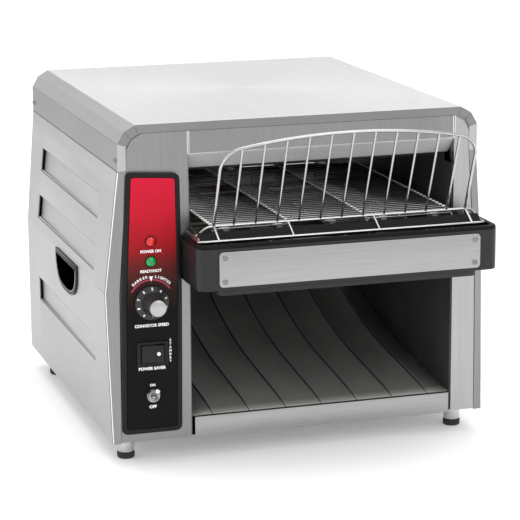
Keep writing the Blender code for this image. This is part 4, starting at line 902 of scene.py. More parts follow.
# The ramp's pale tone is partly the steel's own and partly painted light.
ramp_partly_painted_light = heated_sheet("ramp_partly_painted_light", (0.36, 0.356, 0.340), (0.29, 0.286, 0.272), 0.42)
ramp = settle("ramp_sheet", ramp_shape, ramp_partly_painted_light, "casing",
              ["discharge_ramp"], sharp=60)
bead_flank_painted_shade = heated_sheet("bead_flank_painted_shade", (0.06, 0.059, 0.056), (0.045, 0.044, 0.042), 0.5)
ramp.data.materials.append(bead_flank_painted_shade)
ramp_wall = ramp.modifiers.new("sheet", "SOLIDIFY")
ramp_wall.thickness = 0.001
ramp_wall.offset = -1


# ------------------------------------------------------------------ conveyor belt
# An open belt of bent wire: each stainless wire crosses the whole width, and at each bend line it
# hooks round the next. The wires are bright stainless, and a thicker bead at each hook carries a
# painted glint, brighter than the wire.
belt_low, belt_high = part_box("conveyor_belt")
shaft_front_y = face_y - 0.022
shaft_rear_y = face_y + 0.322
shaft_z = (belt_low.z + belt_high.z) / 2
wire_radius, glint_radius = 0.0005, 0.0010
hook_reach = 0.0011
track_radius = (belt_high.z - belt_low.z) / 2 - 0.0012
straight_run = shaft_rear_y - shaft_front_y
track_length = 2 * straight_run + 2 * math.pi * track_radius
wire_count = 88
wire_pitch = track_length / wire_count
bend_lines = [belt_low.x + 0.0035, belt_low.x + 0.085, belt_high.x - 0.0975,
              belt_high.x - 0.0035]


def on_track(x, distance, lift):
    """A point of the belt, that far round its loop and that far above its middle line."""
    distance = distance % track_length
    radius = track_radius + lift
    if distance < straight_run:
        return (x, shaft_rear_y - distance, shaft_z + radius)
    distance -= straight_run
    if distance < math.pi * track_radius:
        angle = math.pi / 2 + distance / track_radius
        return (x, shaft_front_y + radius * math.cos(angle), shaft_z + radius * math.sin(angle))
    distance -= math.pi * track_radius
    if distance < straight_run:
        return (x, shaft_front_y + distance, shaft_z - radius)
    distance -= straight_run
    angle = -math.pi / 2 + distance / track_radius
    return (x, shaft_rear_y + radius * math.cos(angle), shaft_z + radius * math.sin(angle))


def belt_wire_route(start):
    """One wire of the belt from its left edge to its right, with a hook at each bend line."""
    route = []
    for index, line_x in enumerate(bend_lines):
        forward = 1 if index % 2 == 0 else -1
        rest = -0.25 * forward * wire_pitch
        reach = forward * wire_pitch
        hooked = [(-2.0, rest, -0.2), (-1.1, rest + 0.30 * reach, 0.5),
                  (-0.7, rest + 0.82 * reach, 0.9), (0.0, rest + 1.02 * reach, 0.3),
                  (0.7, rest + 0.82 * reach, -0.7), (1.1, rest + 0.52 * reach, -0.5),
                  (2.0, rest + 0.50 * reach, -0.2)]
        if index == 0:
            hooked = hooked[2:]
        if index == len(bend_lines) - 1:
            hooked = hooked[:5]
        route += [on_track(line_x + along * hook_reach, start + ahead, lift * wire_radius)
                  for along, ahead, lift in hooked]
    return route


def shape_of_curve(curve, merged_within):
    """The bmesh of a curve or of type, with its doubled points merged."""
    holder = bpy.data.objects.new(curve.name, curve)
    scene.collection.objects.link(holder)
    bpy.context.view_layer.update()
    mesh = bpy.data.meshes.new_from_object(
        holder.evaluated_get(bpy.context.evaluated_depsgraph_get()))
    bpy.data.objects.remove(holder)
    shape = bmesh.new()
    shape.from_mesh(mesh)
    bpy.data.meshes.remove(mesh)
    bmesh.ops.remove_doubles(shape, verts=shape.verts, dist=merged_within)
    return shape


def wires_shape(routes, radius, resolution, closed=False):
    """Round wires along several routes, as one bmesh of closed tubes."""
    curve = bpy.data.curves.new("wires", "CURVE")
    curve.dimensions = "3D"
    curve.bevel_depth = radius
    curve.bevel_resolution = resolution
    curve.use_fill_caps = True
    for route in routes:
        spline = curve.splines.new("POLY")
        spline.points.add(len(route) - 1)
        for point, place in zip(spline.points, route):
            point.co = (*place, 1)
        spline.use_cyclic_u = closed
    shape = shape_of_curve(curve, 1e-6)
    bmesh.ops.recalc_face_normals(shape, faces=shape.faces)
    return shape


def add_shape(target, extra):
    """Move everything in one bmesh into another."""
    mesh = bpy.data.meshes.new("extra")
    extra.to_mesh(mesh)
    extra.free()
    target.from_mesh(mesh)
    bpy.data.meshes.remove(mesh)


belt_steel = brushed_steel("belt_wire_steel", 0.60, (20, 500, 500), 0.12, 0.88)
belt_routes = [belt_wire_route(number * wire_pitch) for number in range(wire_count)]
settle("belt_wires", wires_shape(belt_routes, wire_radius, 1), belt_steel,
       "casing", ["conveyor_belt"], sharp=80)
glint_routes = []
for number in range(wire_count):
    for index, line_x in enumerate(bend_lines):
        inward = 0.0012 * ((index == 0) - (index == len(bend_lines) - 1))
        glint_routes.append([on_track(line_x + inward + along, number * wire_pitch + ahead,
                                     0.0004)
                            for along, ahead in ((-hook_reach, 0.0), (-0.0006, 0.0007),
                                                 (0.0006, 0.0007), (hook_reach, 0.0))])
# The hook beads' pale, half-metal steel is a painted glint.
hook_glint_steel = brushed_steel("belt_hook_painted_glint", 0.95, (500, 500, 500), 0.35, 0.3)
settle("belt_hooks", wires_shape(glint_routes, glint_radius, 1), hook_glint_steel,
       "casing", sharp=80)


# ------------------------------------------------------------------ shafts, bushes and drive
# Turned shafts carry toothed belt sprockets. They run in bronze bushes in the chamber walls,
# and a chain on the left joins the rear shaft to the gear motor.
def sprocket_ring(shape, x, centre_y, centre_z, bore, radius, width, teeth):
    """Add one toothed wheel, closed and centred on a shaft, to a bmesh."""
    ring = []
    for tooth in range(teeth):
        for share, reach in ((0.0, 0.80), (0.22, 0.80), (0.38, 1.0), (0.62, 1.0), (0.78, 0.80)):
            angle = 2 * math.pi * (tooth + share) / teeth
            ring.append((radius * reach * math.cos(angle), radius * reach * math.sin(angle)))
    hub = [Vector(point).normalized() * bore for point in ring]
    rings = [[(x + place, centre_y + u, centre_z + v) for u, v in points]
             for place in (-width / 2, width / 2) for points in (ring, hub)]
    bridge_rings(shape, rings, pairs=((0, 2), (2, 3), (3, 1), (1, 0)))


shaft_steel = brushed_steel("shaft_steel", 0.50, (12, 600, 600), 0.3)
shaft_bore = 0.0041
sprocket_xs = [belt_low.x + 0.020 + (belt_high.x - belt_low.x - 0.040) * k / 4
               for k in range(5)]
for node, piece_name, body, centre_y in (
        ("front_idler_shaft", "idler_shaft_turned", "idler_shaft", shaft_front_y),
        ("rear_drive_shaft", "drive_shaft_turned", "drive_shaft", shaft_rear_y)):
    shaft_low, shaft_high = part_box(node)
    shaft_shape = bmesh.new()
    shaft_line = [(0.0, shaft_high.x), (0.0035, shaft_high.x), (0.0040, shaft_high.x - 0.0005),
                  (0.0040, shaft_low.x + 0.0005), (0.0035, shaft_low.x), (0.0, shaft_low.x)]
    spin_profile(shaft_shape, [(x, centre_y, shaft_z + r) for r, x in shaft_line],
                 (1, 0, 0), (0, centre_y, shaft_z), 24)
    for x in sprocket_xs:
        sprocket_ring(shaft_shape, x, centre_y, shaft_z, shaft_bore, track_radius - 0.0018,
                      0.007, 11)
    if body == "drive_shaft":
        sprocket_ring(shaft_shape, -0.133, centre_y, shaft_z, shaft_bore, 0.019, 0.003, 19)
    bmesh.ops.recalc_face_normals(shaft_shape, faces=shaft_shape.faces)
    settle(piece_name, shaft_shape, shaft_steel, body, [node])

bronze = brushed_steel("sintered_bronze", 0.4, (500, 500, 500), 0.42,
                       colours=((0.34, 0.21, 0.10), (0.50, 0.33, 0.17)))
for end_name in ("front", "rear"):
    for side_name, outward in (("left", -1), ("right", 1)):
        node = f"{end_name}_{side_name}_bush"
        bush_low, bush_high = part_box(node)
        bush_y = shaft_front_y if end_name == "front" else shaft_rear_y
        wall_x = bush_high.x - 0.0016 if outward > 0 else bush_low.x + 0.0016
        bush_profile = [(shaft_bore, 0.0016), (0.0076, 0.0016), (0.0080, 0.0012), (0.0080, 0.0003),
                        (0.0060, 0.0003), (0.0060, -0.0017), (0.0057, -0.0020),
                        (shaft_bore, -0.0020)]
        turned_piece(f"{end_name}_{side_name}_flanged_bush", bush_profile,
                     (wall_x, bush_y, shaft_z), (outward, 0, 0), bronze, "casing",
                     [node], 28)

chain_low, chain_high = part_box("drive_chain")
chain_x = (chain_low.x + chain_high.x) / 2
motor_y = face_y + 0.262
motor_z = sheet_z + 0.128
big_radius, small_radius = 0.0216, 0.0153
run = Vector((shaft_rear_y - motor_y, shaft_z - motor_z))
lean = math.atan2(run.y, run.x)
wrap = math.acos((big_radius - small_radius) / run.length)
big_arc = 2 * wrap * big_radius
small_arc = (2 * math.pi - 2 * wrap) * small_radius
tangent_run = math.sqrt(run.length ** 2 - (big_radius - small_radius) ** 2)
chain_length = big_arc + small_arc + 2 * tangent_run


def on_chain(distance):
    """Position and heading in the chain's plane, that far round its loop."""
    distance = distance % chain_length
    if distance < big_arc:
        angle = lean - wrap + distance / big_radius
        return (shaft_rear_y + big_radius * math.cos(angle),
                shaft_z + big_radius * math.sin(angle), angle + math.pi / 2)
    distance -= big_arc
    angle = lean + wrap
    if distance < tangent_run:
        start = (shaft_rear_y + big_radius * math.cos(angle),
                 shaft_z + big_radius * math.sin(angle))
        heading = angle + math.pi / 2
        return (start[0] + distance * math.cos(heading),
                start[1] + distance * math.sin(heading), heading)
    distance -= tangent_run
    if distance < small_arc:
        angle += distance / small_radius
        return (motor_y + small_radius * math.cos(angle),
                motor_z + small_radius * math.sin(angle), angle + math.pi / 2)
    distance -= small_arc
    angle = lean - wrap
    heading = angle + math.pi / 2
    start = (motor_y + small_radius * math.cos(angle), motor_z + small_radius * math.sin(angle))
    return (start[0] + distance * math.cos(heading), start[1] + distance * math.sin(heading),
            heading)


quarter_inch = 0.00635
link_count = 2 * round(chain_length / quarter_inch / 2)
link_pitch = chain_length / link_count
chain_shape = bmesh.new()
for number in range(link_count):
    y, z, heading = on_chain((number + 0.5) * link_pitch)
    half_gap = 0.0022 if number % 2 else 0.0013
    for side in (-1, 1):
        one_plate = bmesh.ops.create_cone(chain_shape, cap_ends=True, segments=8,
                                          radius1=0.0026, radius2=0.0026,
                                          depth=0.0007)["verts"]
        bmesh.ops.scale(chain_shape, vec=(1.95, 1.0, 1.0), verts=one_plate)
        turn = Matrix.Rotation(heading, 4, "X") @ Matrix.Rotation(math.radians(90), 4, "Y")
        turn = turn @ Matrix.Rotation(math.radians(90), 4, "Z")
        bmesh.ops.transform(chain_shape, verts=one_plate,
                            matrix=Matrix.Translation((chain_x + side * half_gap, y, z)) @ turn)
    y, z, heading = on_chain(number * link_pitch)
    pin = bmesh.ops.create_cone(chain_shape, cap_ends=True, segments=8, radius1=0.0011,
                                radius2=0.0011, depth=0.0056)["verts"]
    bmesh.ops.transform(chain_shape, verts=pin,
                        matrix=Matrix.Translation((chain_x, y, z))
                        @ Matrix.Rotation(math.radians(90), 4, "Y"))
settle("roller_chain", chain_shape, shaft_steel, "casing",
       ["drive_chain"])

output_shape = bmesh.new()
sprocket_ring(output_shape, chain_x, motor_y, motor_z, 0.0050, 0.0127, 0.003, 12)
output_line = [(0.0, chain_x + 0.006), (0.0050, chain_x + 0.006), (0.0050, chain_x - 0.0015),
               (0.0040, chain_x - 0.0016), (0.0040, chain_x - 0.0140), (0.0, chain_x - 0.0140)]
spin_profile(output_shape, [(x, motor_y, motor_z + r) for r, x in output_line], (1, 0, 0),
             (0, motor_y, motor_z), 20)
bmesh.ops.recalc_face_normals(output_shape, faces=output_shape.faces)
settle("motor_output_sprocket", output_shape, shaft_steel, "motor_output",
       ["motor_sprocket"])
finish_node("gear_motor", moulded_plastic("gear_case_casting", (0.30, 0.31, 0.32), 0.5, 0.3,
                                          metallic=0.6))


# ------------------------------------------------------------------ front housing
# A black powder-coated band wraps the belt's nose, and its top edge turns in as a rounded return
# in a darker black, painted shade on the rim. A shallow pan shuts it below, an apron of the same
# darker black slopes up to the belt inside it, and thin bright sheets line its two ends.
housing_low, housing_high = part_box("front_housing")
housing_radius = 0.011
trim_depth = 0.0036


def housing_plan(inset, rear_y, steps=14):
    """The band's plan from its left rear end round the front to its right rear end."""
    left, right = housing_low.x + inset, housing_high.x - inset
    front = housing_low.y + inset
    radius = max(housing_radius - inset, 0.006)
    points = [(left, rear_y)]
    for x, start in ((left + radius, 180), (right - radius, 270)):
        for step in range(steps + 1):
            angle = math.radians(start + 90 * step / steps)
            points.append((x + radius * math.cos(angle),
                           front + radius + radius * math.sin(angle)))
    points.append((right, rear_y))
    return points


housing_shape = bmesh.new()
trim_foot = housing_high.z - trim_depth
housing_section = ((0.0014, housing_low.z), (0.0003, housing_low.z + 0.0004),
                   (0.0, housing_low.z + 0.0014), (0.0, trim_foot - 0.0002),
                   (0.0004, trim_foot), (0.0004, housing_high.z - 0.0012),
                   (0.0009, housing_high.z - 0.0003), (0.0018, housing_high.z),
                   (0.0060, housing_high.z))
bridge_rings(housing_shape, [[(x, y, z) for x, y in housing_plan(inset, housing_high.y)]
                             for inset, z in housing_section], ends_open=True)
bmesh.ops.recalc_face_normals(housing_shape, faces=housing_shape.faces)
housing_middle = Vector((0.032, housing_high.y, housing_low.z))
outward = sum((face.calc_center_median() - housing_middle).dot(face.normal) * face.calc_area()
              for face in housing_shape.faces)
if outward < 0:
    bmesh.ops.reverse_faces(housing_shape, faces=housing_shape.faces)
black_coat = moulded_plastic("black_powder_coat", (0.009, 0.009, 0.010), 0.34, 0.12, 0.35)
darker_matt_black = moulded_plastic("darker_matt_black", (0.0025, 0.0025, 0.0027), 0.5, 0.1, 0.12)
# Faces above the trim's foot take the darker black: painted shade on the rim.
for face in housing_shape.faces:
    face.material_index = int(face.calc_center_median().z > trim_foot)
housing = settle("housing_band", housing_shape, black_coat, "casing",
                 ["front_housing"], sharp=40)
housing.data.materials.append(darker_matt_black)
thicken(housing, 0.0015, 0.0002)

pan_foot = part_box("housing_pan")[0].z
pan_shape = outline_of("housing_pan")
pan_corners = [edge for edge in sharp_edges(pan_shape, 60)
               if all(vert.co.z < pan_foot + 1e-5 for vert in edge.verts)]
round_bends(pan_shape, pan_corners, 0.0005, 3)
settle("housing_pan_pressing", pan_shape, black_coat, "casing",
       ["housing_pan"], sharp=40)

liner_shape = bmesh.new()
front_y, rear_y = face_y - 0.047, face_y - 0.003
for x in (-0.1245, 0.1805):
    corners = [(rear_y, housing_low.z + 0.004), (front_y, housing_low.z + 0.004),
               (front_y, housing_high.z + 0.0038), (front_y + 0.003, housing_high.z + 0.0050),
               (rear_y, housing_high.z + 0.0050)]
    liner_shape.faces.new([liner_shape.verts.new((x, y, z)) for y, z in corners])
liner = settle("housing_end_liners", liner_shape, plate_steel_shaded)
thicken(liner, 0.0010, 0.0002, 0.0)
apron_shape = bmesh.new()
bmesh.ops.create_grid(apron_shape, x_segments=1, y_segments=4, size=0.5)
for vert in apron_shape.verts:
    share = vert.co.y + 0.5
    vert.co = (0.028 + vert.co.x * 0.303, face_y - 0.0395 - 0.0125 * share,
               housing_high.z + 0.0085 - 0.0095 * share ** 1.2)
bmesh.ops.recalc_face_normals(apron_shape, faces=apron_shape.faces)
apron = settle("housing_apron", apron_shape, darker_matt_black, "casing")
thicken(apron, 0.0008, 0.0002)


# ------------------------------------------------------------------ front plate
# A plain brushed stainless plate with round corners, screwed to the front of the band.
def rounded_front(node, radius, segments):
    """A node's outline with the rims of its front face rounded."""
    shape = outline_of(node)
    nearest = min(vert.co.y for vert in shape.verts)
    rim = [edge for edge in sharp_edges(shape, 60)
           if all(vert.co.y < nearest + 1e-5 for vert in edge.verts)]
    round_bends(shape, rim, radius, segments)
    return shape


plate_low, plate_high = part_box("front_plate")
settle("front_plate_sheet", rounded_front("front_plate", 0.0005, 3), plate_steel_shaded,
       replaced=["front_plate"], sharp=50)
plate_screws = bmesh.new()
screw_inset = 0.0058
for x in (plate_low.x + screw_inset, plate_high.x - screw_inset):
    for z in (plate_low.z + screw_inset, plate_high.z - screw_inset):
        screw_head(plate_screws, (x, plate_low.y, z), (0, -1, 0), 0.0028, 0.0016)
settle("front_plate_screws", plate_screws, screw_steel)


# ------------------------------------------------------------------ feed rack
# Plated steel wires welded together: an arched frame with eleven rungs leans over the belt's
# nose, and a rail with two end loops rests on the housing's top edge.
rack_wire, rung_wire = 0.0016, 0.0013
rung_gap = 0.0231
rack_half = 0.1365
rack_x = 0.032
rack_foot = Vector((0, face_y - 0.033, sheet_z + 0.2303))
rack_lean = math.radians(22)
rack_rise = 0.1025
crown_radius = 0.580
shoulder_radius = 0.026
rail_y = face_y - 0.0525
rail_z = housing_high.z + rack_wire + 0.0003


def on_rack(x, rise):
    """A point in the rack's leaning plane."""
    return (rack_x + x, rack_foot.y - rise * math.sin(rack_lean),
            rack_foot.z + rise * math.cos(rack_lean))


def crown_rise(x):
    """How far up the slope the arch is, that far from the middle."""
    return rack_rise - crown_radius + math.sqrt(crown_radius ** 2 - x ** 2)


shoulder_x_in = rack_half - shoulder_radius
shoulder_rise = rack_rise - crown_radius + math.sqrt(
    (crown_radius - shoulder_radius) ** 2 - shoulder_x_in ** 2)
meeting = math.atan2(shoulder_rise - rack_rise + crown_radius, shoulder_x_in)
half_arch = [(rack_half, 0.0)] + [
    (shoulder_x_in + shoulder_radius * math.cos(meeting * step / 14),
     shoulder_rise + shoulder_radius * math.sin(meeting * step / 14)) for step in range(15)]
last_x = half_arch[-1][0]
half_arch += [(last_x * (1 - step / 12), crown_rise(last_x * (1 - step / 12)))
              for step in range(1, 13)]
arch_route = [on_rack(x, rise) for x, rise in half_arch]
arch_route += [on_rack(-x, rise) for x, rise in reversed(half_arch[:-1])]


def rounded_route(corners, radius, steps=5):
    """A wire's route through its corners, with a round bend at each inner corner."""
    corners = [Vector(corner_point) for corner_point in corners]
    route = [corners[0]]
    for before, here, after in zip(corners, corners[1:], corners[2:]):
        back = (before - here).normalized() * min(radius, (before - here).length / 2)
        ahead = (after - here).normalized() * min(radius, (after - here).length / 2)
        for step in range(steps + 1):
            share = step / steps
            route.append(here + back * (1 - share) ** 2 + ahead * share ** 2)
    return route + [corners[-1]]


rack_shape = wires_shape([arch_route], rack_wire, 4)
toe_drop = [(side * rack_half + rack_x, rail_y, rail_z) for side in (1, -1)]
parts = [([[arch_route[0], toe_drop[0]], [arch_route[-1], toe_drop[1]]], rack_wire * 0.97)]
rung_xs = [rung_gap * (number - 5) for number in range(11)]
parts.append(([[on_rack(x, 0.0), on_rack(x, crown_rise(x))] for x in rung_xs], rung_wire))
parts.append(([[on_rack(-rack_half, 0), on_rack(rack_half, 0)]], rack_wire * 0.95))
rail_corners = []
for side, reach in ((-1, 0.021), (1, 0.014)):
    end_x = side * (rack_half + reach)
    loop = [(side * rack_half, rack_foot.y, rack_foot.z),
            (side * (rack_half + min(0.008, reach * 0.5)), rack_foot.y, rack_foot.z - 0.0008),
            (end_x, rack_foot.y, rail_z), (end_x, rail_y, rail_z)]
    loop = [(rack_x + x, y, z) for x, y, z in loop]
    rail_corners += loop if side < 0 else loop[::-1]
parts.append(([rounded_route(rail_corners, 0.005)], rack_wire * 0.9))
parts.append(([[on_rack(x, 0), (rack_x + x, rail_y, rail_z)]
               for x in (-rung_gap * 2.5, rung_gap * 1.5)], rung_wire))
for routes, radius in parts:
    add_shape(rack_shape, wires_shape(routes, radius, 3))
plated_wire = brushed_steel("plated_wire", 0.50, (60, 60, 60), 0.10)
settle("feed_rack_wires", rack_shape, plated_wire, "rack", ["feed_rack"],
       sharp=60)


# ------------------------------------------------------------------ crumb tray
# A shallow folded stainless tray. Its upright front strip closes the gap under the exit.
tray_shape = outline_of("crumb_tray")
ease_rims(tray_shape, cut_rim)
settle("crumb_tray_sheet", tray_shape, plate_steel_shaded, "tray",
       ["crumb_tray"])


# ------------------------------------------------------------------ control panel
# A moulded black bezel clips to the left pillar. A printed film lies in its pocket: crimson at
# the top, fading to black above the knob, with plain white words for each control.
control_x = -0.1632
knob_z = sheet_z + 0.1493
label_low, label_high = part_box("control_label")
bezel_plastic = moulded_plastic("bezel_plastic", (0.006, 0.006, 0.007), 0.28, 0.10, 0.18)
settle("bezel_moulding", rounded_front("control_bezel", 0.0011, 3), bezel_plastic, "casing",
       ["control_bezel"], sharp=50)


def printed_film(name, top, bottom):
    """A polyester film, printed in a colour that fades to black down its length."""
    material = bpy.data.materials.new(name)
    material.use_nodes = True
    nodes = material.node_tree.nodes
    links = material.node_tree.links
    shader = nodes["Principled BSDF"]
    shader.label = "printed film"
    fade_frame = nodes.new("NodeFrame")
    fade_frame.label = "colour fade"
    place = nodes.new("ShaderNodeTexCoord")
    place.label = "position on the film"
    split = nodes.new("ShaderNodeSeparateXYZ")
    split.label = "height"
    height = nodes.new("ShaderNodeMapRange")
    height.label = "0 at the foot, 1 at the top"
    fade = nodes.new("ShaderNodeValToRGB")
    fade.label = "black to crimson"
    screen = nodes.new("ShaderNodeTexNoise")
    screen.label = "print grain"
    ink = nodes.new("ShaderNodeMix")
    ink.label = "grain shades the ink"
    sheen = nodes.new("ShaderNodeMapRange")
    sheen.label = "satin sheen"
    for node, location in ((shader, (500, 0)), (place, (-900, 0)), (split, (-700, 100)),
                           (height, (-500, 100)), (fade, (-250, 100)), (screen, (-500, -250)),
                           (ink, (150, 100)), (sheen, (150, -200))):
        node.location = location
    for node in (split, height, fade):
        node.parent = fade_frame

    height.inputs["From Min"].default_value = bottom
    height.inputs["From Max"].default_value = top
    stops = ((0.0, (0.008, 0.008, 0.008)), (0.47, (0.009, 0.008, 0.008)),
             (0.58, (0.040, 0.018, 0.014)), (0.65, (0.14, 0.022, 0.020)),
             (0.73, (0.38, 0.014, 0.020)), (0.86, (0.60, 0.016, 0.034)),
             (1.0, (0.70, 0.016, 0.050)))
    fade.color_ramp.elements[0].position = stops[0][0]
    fade.color_ramp.elements[0].color = (*stops[0][1], 1)
    fade.color_ramp.elements[1].position = stops[-1][0]
    fade.color_ramp.elements[1].color = (*stops[-1][1], 1)
    for position, colour in stops[1:-1]:
        stop = fade.color_ramp.elements.new(position)
        stop.color = (*colour, 1)
    screen.inputs["Scale"].default_value = 1800.0
    ink.data_type = "RGBA"
    ink.blend_type = "MULTIPLY"
    ink.inputs["Factor"].default_value = 0.25
    sheen.inputs["To Min"].default_value = 0.30
    sheen.inputs["To Max"].default_value = 0.42
    shader.inputs["Specular IOR Level"].default_value = 0.06

    links.new(place.outputs["Object"], split.inputs["Vector"])
    links.new(split.outputs["Z"], height.inputs["Value"])
    links.new(height.outputs["Result"], fade.inputs["Fac"])
    links.new(place.outputs["Object"], screen.inputs["Vector"])
    links.new(fade.outputs["Color"], ink.inputs["A"])
    links.new(screen.outputs["Color"], ink.inputs["B"])
    links.new(ink.outputs["Result"], shader.inputs["Base Color"])
    links.new(screen.outputs["Fac"], sheen.inputs["Value"])
    links.new(sheen.outputs["Result"], shader.inputs["Roughness"])
    return material


film = printed_film("label_film", label_high.z, label_low.z)
settle("label_film_sheet", outline_of("control_label"), film, "casing",
       ["control_label"])


def add_lettering(target, text, placement, size=None, width=None):
    """Print text into a bmesh, at a type size or fitted to a width, as a 0.06 mm layer."""
    curve = bpy.data.curves.new("type", "FONT")
    curve.body = text
    curve.align_x = "CENTER"
    curve.align_y = "CENTER"
    curve.offset = 0.038
    curve.extrude = 0.01
    curve.resolution_u = 3
    shape = shape_of_curve(curve, 1e-5)
    span = [vert.co.x for vert in shape.verts]
    middle = (min(span) + max(span)) / 2
    scale = width / (max(span) - min(span)) if width else size
    for vert in shape.verts:
        vert.co = Vector(((vert.co.x - middle) * scale, vert.co.y * scale,
                          0.00003 if vert.co.z > 0 else -0.00003))
    shape.transform(placement)
    add_shape(target, shape)


def on_label(x, height, turn=0.0):
    """Placement of print on the film's face, turned about its own middle."""
    upright = Matrix.Rotation(math.radians(90), 4, "X")
    return (Matrix.Translation((x, label_low.y - 0.00005, height)) @ upright
            @ Matrix.Rotation(turn, 4, "Z"))


def painted(name, colour, worn, roughness):
    """A thin layer of ink or enamel, a little uneven."""
    material = bpy.data.materials.new(name)
    material.use_nodes = True
    nodes = material.node_tree.nodes
    links = material.node_tree.links
    shader = nodes["Principled BSDF"]
    shader.label = "ink"
    place = nodes.new("ShaderNodeTexCoord")
    place.label = "position on the print"
    grain = nodes.new("ShaderNodeTexNoise")
    grain.label = "uneven ink"
    coverage = nodes.new("ShaderNodeMix")
    coverage.label = "ink cover"
    for node, location in ((shader, (300, 0)), (place, (-600, 0)), (grain, (-350, 0)),
                           (coverage, (0, 0))):
        node.location = location
    grain.inputs["Scale"].default_value = 900.0
    coverage.data_type = "RGBA"
    coverage.inputs["A"].default_value = (*colour, 1)
    coverage.inputs["B"].default_value = (*worn, 1)
    shader.inputs["Roughness"].default_value = roughness
    links.new(place.outputs["Object"], grain.inputs["Vector"])
    links.new(grain.outputs["Fac"], coverage.inputs["Factor"])
    links.new(coverage.outputs["Result"], shader.inputs["Base Color"])
    return material


white_ink = painted("white_ink", (1.0, 1.0, 1.0), (0.94, 0.94, 0.94), 0.5)
arc_ink = painted("crimson_ink", (0.42, 0.02, 0.09), (0.34, 0.016, 0.07), 0.5)
words = bmesh.new()
arc_words_radius = 0.0271
for text, x, height, width in (("POWER ON", -0.1630, 0.2026, 0.0215),
                               ("READY/HOT", -0.1631, 0.1821, 0.0225),
                               ("CONVEYOR SPEED", -0.1632, 0.1250, 0.0360),
                               ("POWER SAVER", -0.1634, 0.0795, 0.0288),
                               ("ON", -0.1634, 0.0616, 0.0058),
                               ("OFF", -0.1634, 0.0385, 0.0078)):
    add_lettering(words, text, on_label(x, sheet_z + height), width=width)
for number, letter in enumerate("STANDBY"):
    add_lettering(words, letter, on_label(-0.1440, sheet_z + 0.1080 - 0.0037 * number),
                  size=0.0033)
for text, first, last in (("DARKER", 133, 100), ("LIGHTER", 79, 44)):
    for number, letter in enumerate(text):
        angle = math.radians(first + (last - first) * number / (len(text) - 1))
        add_lettering(words, letter,
                      on_label(control_x + arc_words_radius * math.cos(angle),
                               knob_z + arc_words_radius * math.sin(angle),
                               angle - math.pi / 2),
                      size=0.0037)
pointer = [(-0.0022, 0.0274), (0.0022, 0.0274), (0.0, 0.0220)]
corners = [words.verts.new((control_x + x, label_low.y - 0.00008, knob_z + z))
           for x, z in pointer]
words.faces.new(corners)
settle("label_words", words, white_ink, "casing")
arc_shape = bmesh.new()
arc_inner, arc_outer = 0.0230, 0.0246
arc_rows = []
for step in range(41):
    angle = math.radians(150 - 116 * step / 40)
    arc_rows.append([arc_shape.verts.new((control_x + r * math.cos(angle),
                                          label_low.y - 0.00004,
                                          knob_z + r * math.sin(angle)))
                     for r in (arc_inner, arc_outer)])
for before, after in zip(arc_rows, arc_rows[1:]):
    arc_shape.faces.new((before[0], before[1], after[1], after[0]))
face_towards(arc_shape, Vector((0, -1, 0)))
settle("label_arc", arc_shape, arc_ink, "casing")


# ------------------------------------------------------------------ speed knob
# A black moulded knob with a ribbed grip, a sloping skirt numbered 1 to 9 and a spun aluminium
# cap. Its shaft goes through the pillar into the potentiometer.
knob_face = label_low.y - 0.0010
knob_profile = [(0.0, 0.0254), (0.0079, 0.0254), (0.0084, 0.0251), (0.0092, 0.0230),
                (0.0112, 0.0062), (0.0118, 0.0048), (0.0128, 0.0042), (0.0170, 0.0024),
                (0.0177, 0.0019), (0.0179, 0.0012), (0.0179, 0.0004), (0.0176, 0.0),
                (0.0030, 0.0), (0.0030, -0.0126), (0.0027, -0.0130), (0.0, -0.0130)]
knob_plastic = moulded_plastic("knob_plastic", (0.012, 0.012, 0.012), 0.36, 0.10)
turned_piece("knob_moulding", knob_profile, (control_x, knob_face, knob_z), (0, -1, 0),
             knob_plastic, "knob", ["speed_knob"], 48, 30)
grip = bmesh.new()
for number in range(24):
    angle = 2 * math.pi * number / 24
    rib = [(0.0092, 0.0228), (0.0112, 0.0064)]
    spread = 0.00045
    ring = []
    for radius, reach in rib:
        for sideways, out in ((-spread, -0.0004), (0.0, 0.0006), (spread, -0.0004)):
            r = radius + out
            ring.append(grip.verts.new((
                control_x + r * math.cos(angle) - sideways * math.sin(angle),
                knob_face - reach,
                knob_z + r * math.sin(angle) + sideways * math.cos(angle))))
    for face_corners in ((0, 1, 4, 3), (1, 2, 5, 4), (2, 0, 3, 5), (0, 2, 1), (3, 4, 5)):
        grip.faces.new([ring[k] for k in face_corners])
bmesh.ops.recalc_face_normals(grip, faces=grip.faces)
settle("knob_ribs", grip, knob_plastic, "knob")
spun_aluminium = brushed_steel("spun_aluminium", 0.44, (60, 60, 60), 0.24)
cap_profile = [(0.0, 0.0268), (0.0080, 0.0268), (0.0085, 0.0265), (0.0086, 0.0260),
               (0.0086, 0.0250), (0.0, 0.0250)]
turned_piece("knob_cap", cap_profile, (control_x, knob_face, knob_z), (0, -1, 0),
             spun_aluminium, "knob", (), 40)
numerals = bmesh.new()
skirt_slope = math.atan2(0.0018, 0.0042)
for number in range(10):
    angle = math.radians(90 + 36 * (number - 5))
    reach = 0.0149
    lift = 0.0042 - (reach - 0.0128) * 0.0018 / 0.0042 + 0.00004
    centre = Vector((control_x + reach * math.cos(angle), knob_face - lift,
                     knob_z + reach * math.sin(angle)))
    turn = (Matrix.Rotation(math.radians(90), 4, "X")
            @ Matrix.Rotation(angle - math.pi / 2, 4, "Z")
            @ Matrix.Rotation(-skirt_slope, 4, "X"))
    add_lettering(numerals, str(number) if number else ".",
                  Matrix.Translation(centre) @ turn, size=0.0040)
settle("knob_numerals", numerals, white_ink, "knob")
pot_shape = outline_of("speed_potentiometer")
ease_rims(pot_shape, 0.0005)
zinc = brushed_steel("zinc_plate", 0.5, (200, 200, 200), 0.35)
settle("potentiometer_can", pot_shape, zinc, "casing",
       ["speed_potentiometer"])


